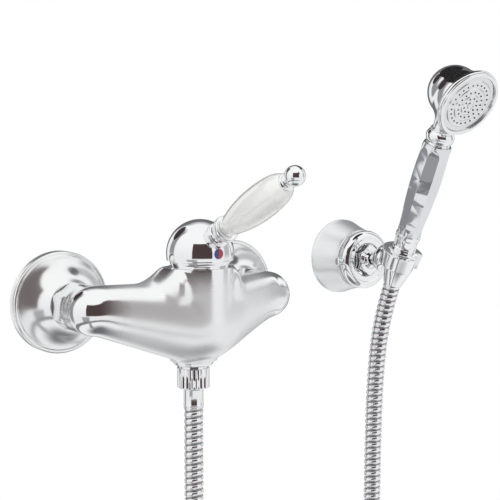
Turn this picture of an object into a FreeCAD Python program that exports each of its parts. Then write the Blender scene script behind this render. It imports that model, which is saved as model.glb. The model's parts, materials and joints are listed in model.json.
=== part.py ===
# Wall shower mixer with its hose, hand shower and swivel wall bracket, in millimetres.
# The wall is the plane y = 0, the front faces -Y, +Z is up, and the origin lies on the wall
# halfway between the two wall threads.
import FreeCAD, Part
import Sketcher
import math
import os

# Name, value and meaning of each driving size; angles are in degrees.
SIZES = [
    ("inlet_centres", 150, "between the two wall threads"),
    ("union_offset", 8, "the bar axis stands this far above the wall threads"),
    ("wall_thread_radius", 10.48, "G 1/2 thread that goes into the wall"),
    ("wall_thread_length", 12, "thread behind the wall face"),
    ("union_thread_radius", 13.22, "G 3/4 thread for the union nut"),
    ("wall_bore", 6, "water way inside the wall thread"),
    ("union_bore", 7, "water way of the union"),
    ("union_web", 8, "thickness of the eccentric web"),
    ("union_web_edge", 0.8, "web outside the union thread"),
    ("union_web_gap", 2, "from the wall to the web"),
    ("union_reach", 30, "from the wall to the end of the union"),
    ("thread_gap", 0.3, "radial gap of a plain hole round a thread"),
    ("flange_radius", 38, "wall flange outside"),
    ("flange_rim", 8, "depth of the flange's rim band"),
    ("flange_bead", 1.2, "rounding of the rim band"),
    ("flange_step", 1.2, "flat ring between the band and the trumpet"),
    ("flange_depth", 23, "from the wall to the flange's mouth"),
    ("flange_neck", 16.6, "outer radius at the mouth"),
    ("flange_sweep", 2.6, "hollow of the trumpet"),
    ("flange_wall", 1.2, "sheet thickness"),
    ("nut_flats", 30, "union nut across flats"),
    ("nut_start", 24.3, "from the wall to the union nut"),
    ("nut_length", 13.7, "union nut"),
    ("nut_lip", 4, "inner lip of the union nut"),
    ("nut_chamfer", 1.2, "rounding of the nut's corners"),
    ("washer_thickness", 2, "flat rubber washers"),
    ("tail_radius", 11.8, "body tail inside the union nut"),
    ("tail_collar", 12.9, "collar that the union nut pulls on"),
    ("tail_collar_length", 1.8, "collar length"),
    ("part_gap", 0.3, "air between two pieces that do not touch"),
    ("elbow_radius", 16.6, "elbow next to the union nut"),
    ("elbow_round", 1.4, "rounding of the elbow's mouth"),
    ("bar_out", 57, "bar axis from the wall at its ends"),
    ("bar_radius", 17, "bar at its ends, and its top edge all along"),
    ("bar_inset", 0.1, "the bar's ends lie this much inside the round elbows"),
    ("corner_x", 62, "station beside the elbow"),
    ("corner_out", 58, "body axis from the wall there"),
    ("corner_depth", 17.4, "half depth there"),
    ("waist_x", 46, "station between the bar's end and the belly"),
    ("waist_out", 62.5, "body axis from the wall there"),
    ("waist_depth", 19.5, "half depth there"),
    ("belly_x", 24, "station beside the column"),
    ("belly_out", 72, "body axis from the wall there"),
    ("belly_depth", 24.6, "half depth there"),
    ("centre_out", 76, "body axis from the wall in the middle"),
    ("centre_depth", 26.6, "half depth in the middle"),
    ("outlet_out", 70, "outlet axis from the wall"),
    ("belly_drop", 39, "underside beside the outlet boss below the bar axis"),
    ("outlet_drop", 41, "from the bar axis down to the outlet face"),
    ("outlet_boss", 15.6, "radius of the outlet boss"),
    ("dome_out", 80, "dome axis from the wall"),
    ("column_radius", 22.6, "round column under the dome"),
    ("column_top", 29, "column top above the bar axis"),
    ("flare_high", 25.6, "height of the flare's first station"),
    ("flare_high_width", 26.4, "half width there"),
    ("flare_mid", 21.6, "height of the second station"),
    ("flare_mid_width", 33, "half width there"),
    ("flare_low", 17, "height of the third station"),
    ("flare_low_width", 42, "half width there"),
    ("flare_root", 9, "height of the station inside the bar"),
    ("flare_root_width", 50, "half width there"),
    ("flare_depth", 23.4, "half depth of the flare"),
    ("chamber_radius", 17.6, "bore for the cartridge"),
    ("chamber_depth", 8, "chamber floor below the bar axis"),
    ("chamber_thread", 19.7, "thread for the retaining nut"),
    ("shell_top", 22, "cartridge shell top above the bar axis"),
    ("port_x", 7.5, "inlet ports beside the dome axis"),
    ("port_y", 4, "inlet ports in front of the dome axis"),
    ("port_radius", 4, "inlet ports"),
    ("channel_radius", 5, "channels from the elbows to the ports"),
    ("channel_drop", 17, "channel ends below the bar axis"),
    ("outlet_port_radius", 5.5, "outlet port"),
    ("outlet_thread", 10.48, "G 1/2 thread of the outlet"),
    ("outlet_thread_depth", 8, "thread inside the body"),
    ("cartridge_radius", 17.4, "cartridge outside"),
    ("seal_thickness", 1, "port seals under the cartridge"),
    ("seal_width", 1.5, "ring width of a port seal"),
    ("base_thickness", 2.5, "cartridge base plate"),
    ("disc_thickness", 2.8, "ceramic discs"),
    ("disc_bore", 14.2, "shell bore round the discs"),
    ("disc_fixed_radius", 14, "fixed ceramic disc"),
    ("disc_moving_radius", 9, "moving ceramic disc"),
    ("disc_outlet_y", 7.5, "outlet hole of the fixed disc behind the dome axis"),
    ("disc_outlet_radius", 4.5, "outlet hole of the fixed disc"),
    ("disc_recess", 5, "hollow under the moving disc"),
    ("disc_recess_depth", 1.4, "depth of that hollow"),
    ("running_gap", 0.05, "running clearance"),
    ("carrier_radius", 8.6, "disc carrier plate"),
    ("carrier_plate", 3, "disc carrier plate thickness"),
    ("carrier_post", 4.2, "carrier post radius"),
    ("spindle_reach", 12.8, "from the tilt pin down to the spindle's ball"),
    ("spindle_ball", 3, "ball at the spindle's foot"),
    ("spindle_shank", 2, "shank above the ball"),
    ("socket_radius", 3.3, "socket for the ball in the carrier post"),
    ("socket_rise", 2, "post top above the ball centre"),
    ("socket_depth", 8, "socket depth"),
    ("rotor_radius", 12.9, "turning bush of the cartridge"),
    ("rotor_bore", 9.8, "inside of the bush"),
    ("rotor_flange", 13.9, "flange that keeps the bush in the shell"),
    ("rotor_flange_thickness", 1.6, "flange thickness"),
    ("cheek_rise", 3.2, "cheeks of the bush above the tilt pin"),
    ("cheek_gap", 10, "slot between the cheeks"),
    ("pin_radius", 2, "tilt pin"),
    ("tilt_rise", 38.8, "tilt pin above the bar axis, the centre of the dome"),
    ("spindle_side", 8, "square spindle"),
    ("spindle_top", 15, "spindle top above the pin"),
    ("retaining_nut_height", 6.4, "nut that holds the cartridge"),
    ("retaining_nut_bore", 13.4, "bore of that nut"),
    ("shroud_inset", 1.6, "round of the shroud inside the dome's outside"),
    ("shroud_wall", 1.3, "shroud wall"),
    ("shroud_rise", 5.6, "rear wall of the shroud above the pin"),
    ("shroud_notch", 4.7, "the front half ends this far below the pin"),
    ("shroud_front", 3, "the rear wall starts this far in front of the pin"),
    ("dome_radius", 24.5, "dome outside"),
    ("dome_wall", 1.3, "dome wall"),
    ("dome_skirt", 5, "dome rim below its centre"),
    ("lift_travel", 18, "lift of the lever in degrees"),
    ("lift_floor", 9.2, "lowest point of the lifted rim below the pin"),
    ("boss_radius", 7, "boss under the dome that takes the spindle"),
    ("boss_rise", 6.6, "lower end of the boss above the pin"),
    ("square_gap", 0.1, "gap round the square spindle on each side"),
    ("grub_radius", 2, "grub screw"),
    ("grub_rise", 1.5, "grub screw above the pin"),
    ("grub_boss", 4, "boss for the grub screw"),
    ("grub_boss_end", 6, "inner end of that boss from the axis"),
    ("grub_length", 12, "grub screw"),
    ("plug_radius", 3.75, "index plug"),
    ("plug_depth", 2, "recess of the plug"),
    ("lever_lean", 26.5, "lever above the horizontal, in degrees"),
    ("lever_rise", 3, "lever axis above the dome's centre"),
    ("rod_radius", 2.9, "steel rod inside the lever"),
    ("rod_start", 19, "inner end of the rod from the dome's centre"),
    ("socket_base", 9, "base ring of the lever socket"),
    ("socket_base_length", 2.6, "base ring stands this proud of the dome"),
    ("socket_waist", 7.9, "waist of the socket"),
    ("socket_flare", 9.6, "flared end of the socket"),
    ("socket_end", 37.5, "socket end along the lever"),
    ("socket_hollow", 0.9, "hollow between waist and flare"),
    ("collar_length", 2.6, "ring between socket and grip"),
    ("collar_round", 1.0, "rounding of that ring"),
    ("grip_neck", 6.5, "narrow end of the ceramic grip"),
    ("grip_belly", 13, "widest radius of the ceramic grip"),
    ("grip_belly_at", 57, "from the narrow end to the widest place"),
    ("grip_length", 77.5, "ceramic grip"),
    ("grip_swell", 2.2, "swell along the grip"),
    ("grip_crown", 4.4, "swell of the rounded end"),
    ("grip_end", 6.2, "radius of the grip's end face"),
    ("neck_radius", 6, "neck ring before the ball"),
    ("neck_length", 4.2, "neck between grip and ball"),
    ("neck_waist", 3.8, "waist of the neck"),
    ("finial_radius", 7, "ball at the end of the lever"),
    ("outlet_disc_radius", 14.5, "disc under the body"),
    ("outlet_disc_thickness", 3, "disc thickness"),
    ("nipple_length", 14, "outlet thread below the body face"),
    ("nipple_bore", 5.5, "bore of the outlet nipple"),
    ("hose_nut_gap", 2.3, "bare thread between disc and nut"),
    ("hose_nut_radius", 11.9, "fluted hose nut"),
    ("hose_nut_lip", 2, "lip that carries the ferrule"),
    ("flute_count", 22, "flutes round the hose nut"),
    ("flute_radius", 1.1, "flutes"),
    ("ferrule_radius", 7.1, "ferrule round the hose end"),
    ("ferrule_head", 9.3, "ferrule collar inside the nut"),
    ("ferrule_head_length", 1.8, "collar length"),
    ("ferrule_length", 15.7, "ferrule below the nut"),
    ("ferrule_bore", 4.4, "bore of the ferrule"),
    ("hose_radius", 7, "hose outside, on the ribs"),
    ("hose_groove", 6.1, "hose in the grooves"),
    ("hose_bore", 4.8, "hose inside"),
    ("rib_pitch", 5, "ribs of the hose"),
    ("rib_land", 0.62, "share of the pitch that a rib fills"),
    ("hose_length", 1500, "hose with its ferrules left out"),
    ("coil_half_turns", 3, "half turns of the hanging coil"),
    ("coil_pitch", 16.6, "between two turns of the hanging coil"),
    ("tie_height", 9, "tie round the coil"),
    ("tie_wall", 1.4, "tie thickness"),
    ("bracket_x", 193, "bracket axis from the middle of the mixer"),
    ("bracket_rise", 25, "bracket axis above the wall threads"),
    ("plate_radius", 22, "wall plate of the bracket"),
    ("plate_thickness", 4, "wall plate"),
    ("plate_boss", 11.2, "boss of the wall plate, and the ball seat on it"),
    ("plate_boss_length", 24, "boss from the wall"),
    ("screw_spacing", 32, "between the two wall screws"),
    ("screw_radius", 2.3, "wall screws"),
    ("screw_collar", 0.1, "the shank is this much thicker inside the plate"),
    ("screw_head", 4.4, "wall screw heads"),
    ("screw_head_length", 2.6, "wall screw heads"),
    ("screw_depth", 17, "wall screws behind the wall face"),
    ("cone_back", 31.5, "bracket cone at the wall"),
    ("cone_front", 24.4, "bracket cone in front"),
    ("cone_depth", 27, "bracket cone"),
    ("cone_wall", 1.5, "bracket cone wall"),
    ("cone_mouth", 17, "opening of the cone's face"),
    ("cone_round", 1.6, "rounding of the cone's front edge"),
    ("ring_inner", 13.6, "mouth of the round collar"),
    ("ring_outer", 23.6, "widest radius of the round collar"),
    ("ring_depth", 10.4, "round collar"),
    ("ring_swell", 3.6, "swell of the round collar"),
    ("ring_face", 18.6, "radius where the swell ends in front"),
    ("lock_flats", 22, "hex lock ring across flats"),
    ("lock_start", 33.5, "lock ring from the wall"),
    ("lock_length", 7, "lock ring"),
    ("lock_mouth", 7.5, "opening of the lock ring"),
    ("ball_radius", 8.8, "swivel ball"),
    ("ball_out", 35, "swivel ball from the wall"),
    ("ball_gap", 0.06, "running gap of the ball"),
    ("lock_skirt", 13, "skirt of the lock ring that screws on the boss"),
    ("lock_skirt_start", 20, "lower end of that skirt from the wall"),
    ("thumb_radius", 3.4, "thumb screw head"),
    ("thumb_length", 5, "thumb screw head"),
    ("thumb_gap", 1, "thumb screw head from the ring's widest radius"),
    ("thumb_out", 31.5, "thumb screw from the wall"),
    ("arm_lean", 6.5, "arm above the horizontal, in degrees"),
    ("arm_root", 4.8, "arm radius at the ball"),
    ("arm_end", 11, "arm radius at the knuckle"),
    ("arm_length", 27, "from the ball to the knuckle"),
    ("knuckle_radius", 12.6, "round knuckle beside the holder ring"),
    ("holder_out", 16, "from the knuckle out to the ring's centre"),
    ("holder_rise", 2, "from the knuckle up to the ring's centre"),
    ("holder_height", 14, "holder ring"),
    ("holder_top", 16.6, "holder ring outside at its top"),
    ("holder_foot", 15.2, "holder ring outside at its foot"),
    ("holder_slot", 16, "slot that the hose passes through"),
    ("holder_slot_turn", 28, "slot turned from straight out, in degrees"),
    ("seat_gap", 0.08, "running gap between the cone nut and the ring"),
    ("handset_lean", 24, "hand shower leaning out from the wall, in degrees"),
    ("nut_high", 12.6, "cone nut at the ring's top"),
    ("nut_low", 11.9, "cone nut at the ring's foot"),
    ("cone_nut_top", 8, "cone nut above the ring's centre"),
    ("cone_nut_foot", 23, "cone nut below the ring's centre"),
    ("cone_nut_tip", 7.6, "radius at its foot"),
    ("upper_ferrule", 6.2, "ferrule inside the cone nut"),
    ("spigot_start", 9, "thread of the hand shower below the ring's centre"),
    ("spigot_thread", 10.48, "G 1/2 thread of the hand shower"),
    ("spigot_bore", 5, "water way of the hand shower"),
    ("sleeve_radius", 9.4, "ferrule of the hand shower"),
    ("sleeve_top", 20, "its top above the ring's centre"),
    ("sleeve_flange", 10, "flange under the grip"),
    ("sleeve_flange_length", 3, "flange"),
    ("barrel_length", 79, "faceted grip of the hand shower"),
    ("barrel_foot", 9.2, "radius at its foot"),
    ("barrel_belly", 12.8, "widest radius"),
    ("barrel_belly_at", 50.5, "from its foot to the widest place"),
    ("barrel_head", 11, "radius at its upper end"),
    ("barrel_swell", 0.7, "swell below the widest place"),
    ("barrel_crown", 0.9, "swell above the widest place"),
    ("facet_foot", 8.6, "flats at the foot, from the axis"),
    ("facet_belly", 11.95, "flats at the widest place, from the axis"),
    ("facet_head", 10.4, "flats at the upper end, from the axis"),
    ("facet_count", 8, "flats round the grip"),
    ("tube_radius", 6, "water tube inside the grip"),
    ("tube_gap", 0.1, "gap round that tube"),
    ("bulge_length", 13, "round collar above the grip"),
    ("bulge_end", 8.6, "round collar at both ends"),
    ("bulge_swell", 2.4, "swell of the round collar"),
    ("head_beyond", 30.5, "from the round collar to the head's centre"),
    ("head_radius", 23, "round back of the head"),
    ("head_wall", 1.5, "wall of the head"),
    ("head_neck", 7.7, "neck between collar and head"),
    ("head_neck_flare", 11.4, "neck where it meets the head"),
    ("head_neck_straight", 2, "straight part of the neck"),
    ("head_neck_length", 13, "neck from the collar into the head"),
    ("head_neck_hollow", 1.3, "hollow of the neck"),
    ("face_tilt", 31, "spray face turned down, in degrees"),
    ("face_out", 19.3, "from the head's centre to the rim plane"),
    ("rim_radius", 27.2, "outer rim of the spray face"),
    ("rim_depth", 8.3, "rim ring"),
    ("rim_back", 22.3, "rim ring where it meets the head"),
    ("rim_edge", 4.2, "outer edge band of the rim"),
    ("rim_round", 1.2, "rounding of the rim"),
    ("rim_mouth", 23.7, "opening of the rim ring"),
    ("rim_recess", 1.5, "spray plate behind the rim's front"),
    ("plate_step", 0.8, "step between the rings of the spray plate"),
    ("plate_ring_one", 19.3, "radius of the first step"),
    ("plate_ring_two", 13.6, "radius of the second step"),
    ("plate_ring_three", 7.9, "radius of the third step"),
    ("spray_thickness", 2.4, "spray plate at its edge"),
    ("jet_radius", 0.75, "jets"),
    ("jets_outer", 24, "jets in the outer ring"),
    ("jets_middle", 16, "jets in the middle ring"),
    ("jets_inner", 9, "jets in the inner ring"),
    ("jets_outer_ring", 16.5, "radius of the outer ring of jets"),
    ("jets_middle_ring", 10.75, "radius of the middle ring of jets"),
    ("jets_inner_ring", 5.9, "radius of the inner ring of jets"),
    ("gasket_thickness", 1.5, "gasket behind the spray plate"),
    ("gasket_inner", 20.6, "inner radius of the gasket"),
    ("diffuser_thickness", 2.2, "diffuser disc in the head"),
    ("diffuser_back", 8.4, "diffuser behind the rim plane"),
    ("diffuser_post", 4, "post of the diffuser that takes the screw"),
    ("face_screw_radius", 3.1, "screw in the middle of the face"),
    ("face_screw_length", 8.4, "its shank"),
    ("face_screw_shank", 1.6, "its shank"),
    ("screw_cross", 0.9, "cross slot width"),
]

LEFT = -1
RIGHT = 1
ELLIPSE_POINTS = 24


class Size:
    """A number together with the expression that gives it from the size sheet."""

    def __init__(self, value, text):
        self.value = float(value)
        self.text = text

    def __add__(self, other):
        other = as_size(other)
        return Size(self.value + other.value, f"({self.text} + {other.text})")

    def __radd__(self, other):
        return as_size(other) + self

    def __sub__(self, other):
        other = as_size(other)
        return Size(self.value - other.value, f"({self.text} - {other.text})")

    def __rsub__(self, other):
        return as_size(other) - self

    def __mul__(self, other):
        other = as_size(other)
        return Size(self.value * other.value, f"({self.text} * {other.text})")

    def __rmul__(self, other):
        return as_size(other) * self

    def __truediv__(self, other):
        other = as_size(other)
        return Size(self.value / other.value, f"({self.text} / {other.text})")

    def __neg__(self):
        return Size(-self.value, f"(0 - {self.text})")


def as_size(value):
    """A plain number becomes a size whose expression is the number itself."""
    if isinstance(value, Size):
        return value
    return Size(value, f"({value})" if value < 0 else str(value))


def root(value):
    value = as_size(value)
    return Size(math.sqrt(value.value), f"sqrt({value.text})")


def sine(angle):
    angle = as_size(angle)
    return Size(math.sin(math.radians(angle.value)), f"sin({angle.text})")


def cosine(angle):
    angle = as_size(angle)
    return Size(math.cos(math.radians(angle.value)), f"cos({angle.text})")


class SizeSheet:
    """The driving sizes in a spreadsheet, read back as attributes of this object."""

    def __init__(self, document):
        self.sheet = document.addObject("Spreadsheet::Sheet", "Sizes")
        self.names = {}
        for row, (name, value, meaning) in enumerate(SIZES, start=1):
            self.sheet.set(f"A{row}", name)
            self.sheet.set(f"B{row}", str(value))
            self.sheet.set(f"C{row}", meaning)
            self.sheet.setAlias(f"B{row}", name)
            self.names[name] = Size(value, f"Sizes.{name}")
        document.recompute()

    def __getattr__(self, name):
        return self.names[name]


class Frame:
    """A place, turned about X by an angle in degrees, that a piece is built in."""

    def __init__(self, x=0, y=0, z=0, turn=0):
        self.x = as_size(x)
        self.y = as_size(y)
        self.z = as_size(z)
        self.turn = as_size(turn)

    def at(self, x=0, y=0, z=0):
        """The same frame, moved along its own axes."""
        across = as_size(y) * cosine(self.turn) - as_size(z) * sine(self.turn)
        along = as_size(y) * sine(self.turn) + as_size(z) * cosine(self.turn)
        return Frame(self.x + x, self.y + across, self.z + along, self.turn)

    def turned(self, degrees):
        return Frame(self.x, self.y, self.z, self.turn + degrees)

    def point(self):
        return FreeCAD.Vector(self.x.value, self.y.value, self.z.value)

    def placement(self):
        turning = FreeCAD.Rotation(FreeCAD.Vector(1, 0, 0), self.turn.value)
        return FreeCAD.Placement(self.point(), turning)

    def bind(self, item):
        """Places an object here and ties its place to the sheet."""
        item.Placement = self.placement()
        item.setExpression("Placement.Base.x", self.x.text)
        item.setExpression("Placement.Base.y", self.y.text)
        item.setExpression("Placement.Base.z", self.z.text)
        if "Sizes." in self.turn.text:
            item.setExpression("Placement.Rotation.Angle", self.turn.text)


doc = FreeCAD.newDocument("shower_mixer")
s = SizeSheet(doc)
HERE = Frame()
pieces = []


def bow(swell, r, z):
    """An arc to (r, z) that swells away from the solid when the outline runs anticlockwise."""
    return ("bow", as_size(swell), as_size(r), as_size(z))


def about(r, z):
    """An arc to (r, z) about the outline's own origin."""
    return ("about", as_size(r), as_size(z))


def outline_points(outline):
    """The corners of an outline, and the middle point of each bowed side."""
    corners = [(as_size(item[-2]), as_size(item[-1])) for item in outline]
    middles = {}
    for index, item in enumerate(outline):
        r_from, z_from = corners[index - 1]
        r_to, z_to = corners[index]
        if item[0] == "about":
            r_sum = r_from + r_to
            z_sum = z_from + z_to
            stretch = root(r_to * r_to + z_to * z_to) / root(r_sum * r_sum + z_sum * z_sum)
            middles[index] = (r_sum * stretch, z_sum * stretch)
        if item[0] != "bow":
            continue
        r_run = r_to - r_from
        z_run = z_to - z_from
        reach = root(r_run * r_run + z_run * z_run)
        middle_r = (r_from + r_to) / 2 + item[1] * z_run / reach
        middle_z = (z_from + z_to) / 2 - item[1] * r_run / reach
        middles[index] = (middle_r, middle_z)
    return corners, middles


def pin_point(sketch, geometry, end, place):
    """Ties both coordinates of a sketch point to the sheet."""
    for kind, size in (("DistanceX", place[0]), ("DistanceY", place[1])):
        number = sketch.addConstraint(Sketcher.Constraint(kind, geometry, end, size.value))
        if "Sizes." in size.text:
            sketch.setExpression(f"Constraints[{number}]", size.text)


def draw_outline(sketch, outline):
    """A closed outline of lines and arcs, each corner bound to the sheet."""
    corners, middles = outline_points(outline)
    flat = [FreeCAD.Vector(r.value, z.value, 0) for r, z in corners]
    sides = []
    for index, end in enumerate(flat):
        start = flat[index - 1]
        if index in middles:
            middle = FreeCAD.Vector(middles[index][0].value, middles[index][1].value, 0)
            arc = Part.Arc(start, middle, end)
            number = sketch.addGeometry(arc, False)
            start_end = 1 if number_start(sketch, number, start) else 2
            sides.append((number, start_end, 3 - start_end))
            dot = sketch.addGeometry(Part.Point(middle), True)
            pin_point(sketch, dot, 1, middles[index])
            sketch.addConstraint(Sketcher.Constraint("PointOnObject", dot, 1, number))
        else:
            sides.append((sketch.addGeometry(Part.LineSegment(start, end), False), 1, 2))
    for index, (number, _, end_point) in enumerate(sides):
        after, after_start, _ = sides[(index + 1) % len(sides)]
        sketch.addConstraint(Sketcher.Constraint("Coincident", number, end_point, after, after_start))
        pin_point(sketch, number, end_point, corners[index])


def number_start(sketch, number, start):
    """Whether the first end of a sketch arc is the point where the side starts."""
    return sketch.getPoint(number, 1).distanceToPoint(start) < 1e-6


def origin_plane(body, role):
    return [item for item in body.Origin.OriginFeatures if item.Role == role][0]


def lathe(name, frame, outline):
    """A body turned from one outline of (radius, height) about its own Z axis."""
    body = doc.addObject("PartDesign::Body", name)
    sketch = body.newObject("Sketcher::SketchObject", name + "_outline")
    sketch.AttachmentSupport = [(origin_plane(body, "XZ_Plane"), "")]
    sketch.MapMode = "FlatFace"
    draw_outline(sketch, outline)
    turned = body.newObject("PartDesign::Revolution", name + "_turned")
    turned.Profile = sketch
    turned.ReferenceAxis = (sketch, ["V_Axis"])
    turned.Angle = 360
    frame.bind(body)
    return body


def primitive(kind, name, frame, **sizes):
    """A Part primitive whose properties are bound to the sheet."""
    item = doc.addObject(kind, name)
    for prop, size in sizes.items():
        size = as_size(size)
        setattr(item, prop, size.value)
        if "Sizes." in size.text:
            item.setExpression(prop, size.text)
    frame.bind(item)
    return item


def rod(name, frame, radius, length):
    return primitive("Part::Cylinder", name, frame, Radius=radius, Height=length)


def rod_across(name, frame, radius, length):
    """A cylinder along X, its middle at the frame."""
    item = primitive("Part::Cylinder", name, frame.at(x=length * -0.5), Radius=radius, Height=length)
    item.Placement = FreeCAD.Placement(item.Placement.Base, FreeCAD.Rotation(FreeCAD.Vector(0, 1, 0), 90))
    return item


def sphere(name, frame, radius):
    return primitive("Part::Sphere", name, frame, Radius=radius)


def block(name, frame, width, depth, height):
    """A box centred on X, reaching forward from the frame in Y and up in Z."""
    return primitive("Part::Box", name, frame.at(x=width * -0.5), Length=width, Width=depth, Height=height)


def hexagon(name, frame, flats, height):
    radius = as_size(flats) / math.sqrt(3)
    return primitive("Part::Prism", name, frame, Circumradius=radius, Height=height)


def joined(kind, name, frame, items):
    """A boolean of several items, placed as one in the frame."""
    item = doc.addObject(kind, name)
    item.Shapes = items
    frame.bind(item)
    return item


def fused(name, items, frame=HERE):
    return joined("Part::MultiFuse", name, frame, items)


def shared(name, items, frame=HERE):
    return joined("Part::MultiCommon", name, frame, items)


def grouped(name, items, frame=HERE):
    """Separate solids kept as one group of like pieces."""
    item = doc.addObject("Part::Compound", name)
    item.Links = items
    frame.bind(item)
    return item


def cut(name, base, tools, frame=HERE):
    """A base less one or several tools, placed in the frame."""
    item = doc.addObject("Part::Cut", name)
    item.Base = base
    item.Tool = tools[0] if len(tools) == 1 else fused(name + "_tools", tools)
    frame.bind(item)
    return item


def shaped(name, shape, frame=HERE):
    """A piece whose shape is made here from the sheet's values."""
    item = doc.addObject("Part::Feature", name)
    item.Shape = shape
    frame.bind(item)
    return item


def piece(item, label):
    """Marks an object as a finished piece, under the name of its file."""
    item.Label = label
    pieces.append(item)
    return item


def tube(name, frame, outer, inner, low, high):
    """A plain ring or sleeve between two heights."""
    return lathe(name, frame, [(inner, low), (outer, low), (outer, high), (inner, high)])


def ellipse_wire(centre, half_width, half_depth, along_x):
    """An ellipse across the X axis or across the Z axis, starting at the same side each time."""
    turn = FreeCAD.Rotation(FreeCAD.Vector(0, 1, 0), 90) if along_x else FreeCAD.Rotation()
    points = []
    for index in range(ELLIPSE_POINTS):
        angle = 2 * math.pi * index / ELLIPSE_POINTS
        points.append(FreeCAD.Vector(half_width * math.cos(angle), half_depth * math.sin(angle), 0))
    curve = Part.BSplineCurve()
    curve.interpolate(points, PeriodicFlag=True)
    wire = Part.Wire(curve.toShape())
    wire.Placement = FreeCAD.Placement(centre, turn)
    return wire


def union(side, frame, word):
    """Eccentric union: wall thread, web and the thread for the union nut, bored through."""
    low = frame
    high = frame.at(y=s.union_offset)
    web_end = s.union_web_gap + s.union_web
    wall_thread = rod(f"wall_thread_{word}", low.at(z=-s.wall_thread_length), s.wall_thread_radius,
                      s.wall_thread_length + s.union_web_gap)
    web = rod(f"web_{word}", frame.at(y=s.union_offset / 2, z=s.union_web_gap),
              s.union_thread_radius + s.union_offset / 2 + s.union_web_edge, s.union_web)
    nut_thread = rod(f"nut_thread_{word}", high.at(z=web_end), s.union_thread_radius,
                     s.union_reach - web_end)
    middle = s.union_web_gap + s.union_web / 2
    back_bore = rod(f"back_bore_{word}", low.at(z=-s.wall_thread_length - 1), s.wall_bore,
                    s.wall_thread_length + middle + 1)
    front_bore = rod(f"front_bore_{word}", high.at(z=middle - 1), s.union_bore,
                     s.union_reach - middle + 2)
    solid = fused(f"union_solid_{word}", [wall_thread, web, nut_thread])
    return piece(cut(f"union_{word}", solid, [back_bore, front_bore]), f"eccentric_union_{word}")


def flange(frame, word):
    """Wall flange: rim band, flat ring and a hollow trumpet up to its mouth."""
    mouth = s.union_thread_radius + s.thread_gap
    shoulder = s.flange_radius - s.flange_bead - s.flange_step
    inner_shoulder = shoulder - s.flange_wall
    inner_rim = s.flange_rim - s.flange_wall
    outline = [
        (s.flange_radius - s.flange_wall, 0),
        (s.flange_radius, 0),
        (s.flange_radius, s.flange_rim - s.flange_bead),
        bow(s.flange_bead * 0.29, s.flange_radius - s.flange_bead, s.flange_rim),
        (shoulder, s.flange_rim),
        bow(-s.flange_sweep, s.flange_neck, s.flange_depth),
        (mouth, s.flange_depth),
        (mouth, s.flange_depth - s.flange_wall),
        (s.flange_neck - s.flange_wall, s.flange_depth - s.flange_wall),
        bow(s.flange_sweep, inner_shoulder, inner_rim),
        (s.flange_radius - s.flange_wall, inner_rim),
    ]
    return piece(lathe(f"flange_{word}", frame, outline), f"wall_flange_{word}")


def union_nut(frame, word):
    """Hex union nut with rounded corners, threaded bore and the lip that pulls on the tail."""
    across_corners = s.nut_flats / math.sqrt(3)
    end = s.nut_start + s.nut_length
    hex_solid = hexagon(f"nut_hex_{word}", Frame(z=s.nut_start), s.nut_flats, s.nut_length)
    rounding = lathe(f"nut_rounding_{word}", HERE, [
        (0, s.nut_start),
        (across_corners - s.nut_chamfer, s.nut_start),
        bow(s.nut_chamfer * 0.2, across_corners, s.nut_start + s.nut_chamfer),
        (across_corners, end - s.nut_chamfer),
        bow(s.nut_chamfer * 0.2, across_corners - s.nut_chamfer, end),
        (0, end),
    ])
    thread = rod(f"nut_bore_{word}", Frame(z=s.nut_start - 1), s.union_thread_radius + s.running_gap,
                 s.nut_length - s.nut_lip + 1)
    hole = rod(f"nut_hole_{word}", Frame(z=s.nut_start), s.tail_radius + s.part_gap, s.nut_length + 1)
    rounded = shared(f"nut_rounded_{word}", [hex_solid, rounding])
    return piece(cut(f"nut_{word}", rounded, [thread, hole], frame), f"union_nut_{word}")


def body_sections():
    """Ellipses of the bar: flat top edge, underside falling straight to the outlet boss."""
    half_span = s.inlet_centres.value / 2
    radius = s.bar_radius.value
    boss = s.outlet_boss.value
    drop = s.belly_drop.value

    def underside(x):
        share = max(abs(x) - boss, 0) / (half_span - boss)
        return -drop + (drop - radius) * share

    inset = s.bar_inset.value
    stations = [
        (half_span, s.bar_out.value, radius - inset, inset),
        (s.corner_x.value, s.corner_out.value, s.corner_depth.value, 0),
        (s.waist_x.value, s.waist_out.value, s.waist_depth.value, 0),
        (s.belly_x.value, s.belly_out.value, s.belly_depth.value, 0),
    ]
    middle = [(0, s.centre_out.value, s.centre_depth.value, 0)]
    left = [(-x, out, depth, inside) for x, out, depth, inside in stations]
    wires = []
    for x, out, depth, inside in left + middle + stations[::-1]:
        low = underside(x)
        half_height = (radius - low) / 2 - inside
        centre = FreeCAD.Vector(x, -out, s.union_offset.value + (radius + low) / 2)
        wires.append(ellipse_wire(centre, half_height, depth, True))
    return wires


def column_sections():
    """Ellipses of the flare that rises from the bar to the round column."""
    flare = [
        (s.flare_root.value, s.flare_root_width.value, s.flare_depth.value),
        (s.flare_low.value, s.flare_low_width.value, s.flare_depth.value),
        (s.flare_mid.value, s.flare_mid_width.value, s.flare_depth.value),
        (s.flare_high.value, s.flare_high_width.value, (s.flare_depth.value + s.column_radius.value) / 2),
        (s.column_top.value, s.column_radius.value, s.column_radius.value),
    ]
    wires = []
    for height, half_width, half_depth in flare:
        centre = FreeCAD.Vector(0, -s.dome_out.value, s.union_offset.value + height)
        wires.append(ellipse_wire(centre, half_width, half_depth, False))
    return wires


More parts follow.
